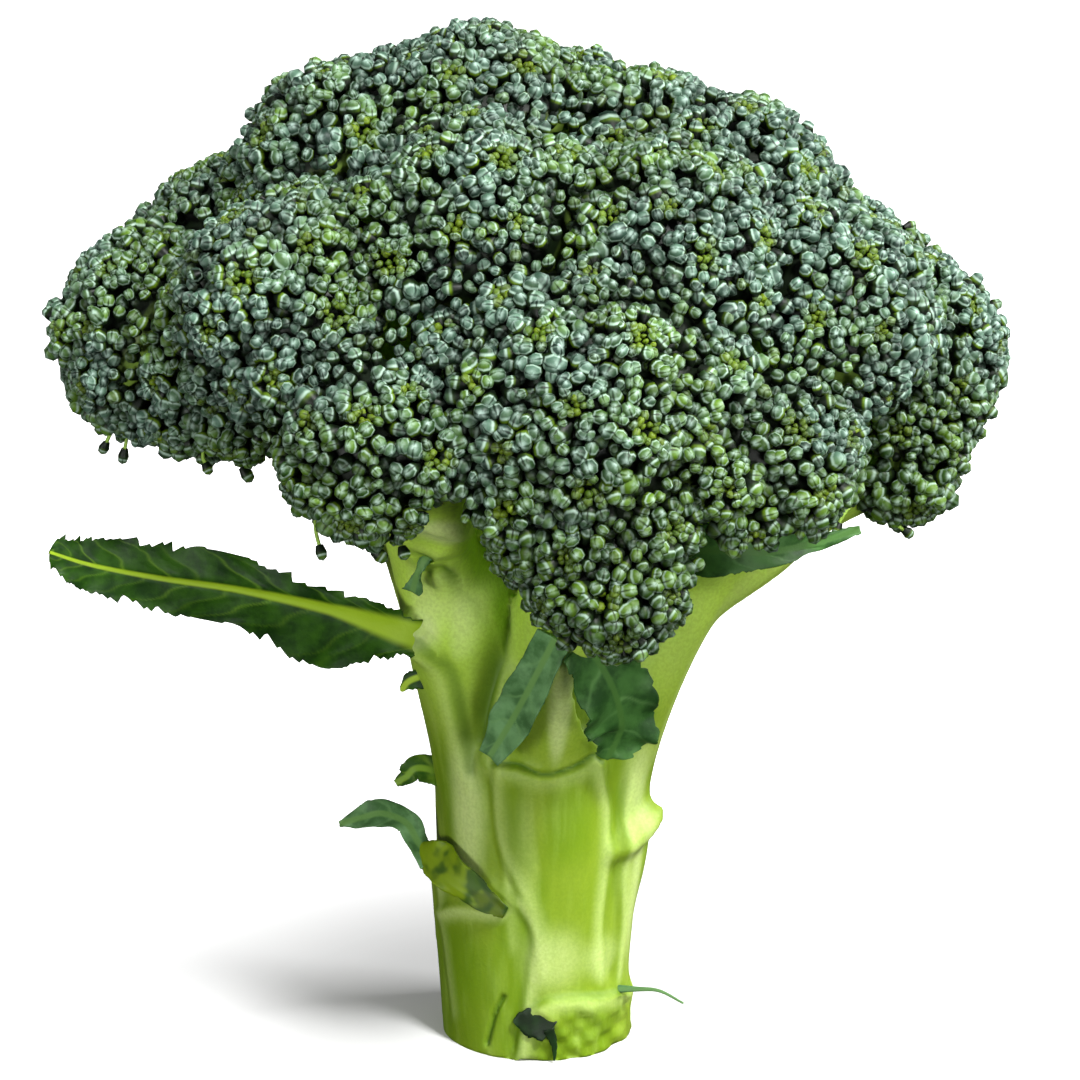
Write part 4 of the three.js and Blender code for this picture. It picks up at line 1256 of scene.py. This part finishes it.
def add_area(name, place, target, size, power):
    light = bpy.data.lights.new(name, "AREA")
    light.energy = power
    light.size = size
    lamp = bpy.data.objects.new(name, light)
    lamp.location = place
    lamp.rotation_euler = (Vector(target) - Vector(place)).to_track_quat("-Z", "Y").to_euler()
    bpy.context.scene.collection.objects.link(lamp)


FLOOR_HALF = 40.0
# The floor glows dimly round the head, a painted shadow at the foot, and fully and evenly away from it.
FLOOR_GLOW_AND_SHADOW = (0.1, 1.02)  # round the head and away from it
PAINTED_SHADOW_REACH = (0.026, 0.108)  # metres from the head over which the floor's glow rises
SKY_LIGHT = (0.05, 0.22)  # from below the horizon and from overhead
SKY_RISE = (-0.3, 0.7)  # how far up the sky's light starts and stops rising


def add_stage():
    mesh = bpy.data.meshes.new("floor")
    corners = [(x * FLOOR_HALF, y * FLOOR_HALF, 0) for x, y in ((-1, -1), (1, -1), (1, 1), (-1, 1))]
    mesh.from_pydata(corners, [], [(0, 1, 2, 3)])
    floor = bpy.data.objects.new("floor", mesh)
    bpy.context.scene.collection.objects.link(floor)
    floor.visible_diffuse = False
    floor.visible_glossy = False
    n = Nodes("white_floor")
    n.finish((0.75, 0.75, 0.75, 1), 0.9, 0)
    n.shader.inputs["Emission Color"].default_value = (1, 1, 1, 1)
    # Painted shadow: the floor's glow falls off close to the head.
    away = n.tree.nodes.new("ShaderNodeVectorMath")
    away.operation = "LENGTH"
    n.link(n.place(), away.inputs[0])
    n.link(n.remap(away.outputs["Value"], *PAINTED_SHADOW_REACH, *FLOOR_GLOW_AND_SHADOW), n.shader.inputs["Emission Strength"])
    mesh.materials.append(n.material)
    world = bpy.data.worlds.new("world")
    world.use_nodes = True
    tree = world.node_tree
    background = tree.nodes["Background"]
    background.inputs["Color"].default_value = (1, 1, 1, 1)
    direction = tree.nodes.new("ShaderNodeTexCoord")
    split = tree.nodes.new("ShaderNodeSeparateXYZ")
    tree.links.new(direction.outputs["Generated"], split.inputs[0])
    rise = tree.nodes.new("ShaderNodeMapRange")
    rise.interpolation_type = "SMOOTHSTEP"
    tree.links.new(split.outputs["Z"], rise.inputs["Value"])
    for key, number in zip(RANGE_SOCKETS, (*SKY_RISE, *SKY_LIGHT)):
        rise.inputs[key].default_value = number
    tree.links.new(rise.outputs["Result"], background.inputs["Strength"])
    bpy.context.scene.world = world
    bpy.context.scene.view_settings.view_transform = "Standard"


# Each light: name, place, what it points at, size and power
LIGHTS = [
    ("side", (0.98, 0.02, 0.62), (0, 0, 0.07), 0.5, 14),
    ("key", (0.45, -0.66, 1.0), (0, 0, 0.1), 0.2, 23),
    ("low_left", (-0.7, -0.95, 0.02), (0, 0, 0.04), 0.4, 12),
    ("low_right", (0.5, -1.05, 0.02), (0, 0, 0.04), 0.4, 9),
]
CAMERA_ELEVATION = math.radians(15)
CAMERA_DISTANCE = 0.5
CAMERA_TARGET = (0, 0, 0.08)
CAMERA_LENS = 108.1
SENSOR_WIDTH = 36


def add_camera():
    camera = bpy.data.cameras.new("camera")
    camera.sensor_width = SENSOR_WIDTH
    camera.lens = CAMERA_LENS
    view = bpy.data.objects.new("camera", camera)
    view.location = (
        0,
        -CAMERA_DISTANCE * math.cos(CAMERA_ELEVATION),
        CAMERA_TARGET[2] + CAMERA_DISTANCE * math.sin(CAMERA_ELEVATION),
    )
    view.rotation_euler = (math.pi / 2 - CAMERA_ELEVATION, 0, 0)
    bpy.context.scene.collection.objects.link(view)
    bpy.context.scene.camera = view


TWO_LEAVED_BUD = bud_template(BUD_RINGS, 8, 2)
THREE_LEAVED_BUD = bud_template(BUD_RINGS, 9, 3)
SMALL_BUD = bud_template(SMALL_RINGS, 6, 3)
SPHERE = sphere_template(3)

crown = crown_material()
florets = make_florets()
places, normals, numbers = crown_places(florets)
clusters = make_clusters(places, normals, numbers)
buds = place_buds(clusters, places, normals, numbers)
for floret in florets:
    floret_piece(floret, clusters, buds, crown)

stalk_piece(florets, stalk_material())
blades = {look: leaf_material(look) for look in LOOKS}
for name, leaf in LEAVES.items():
    leaf_piece(name, leaf, blades[leaf["look"]])

add_stage()
for light in LIGHTS:
    add_area(*light)
add_camera()
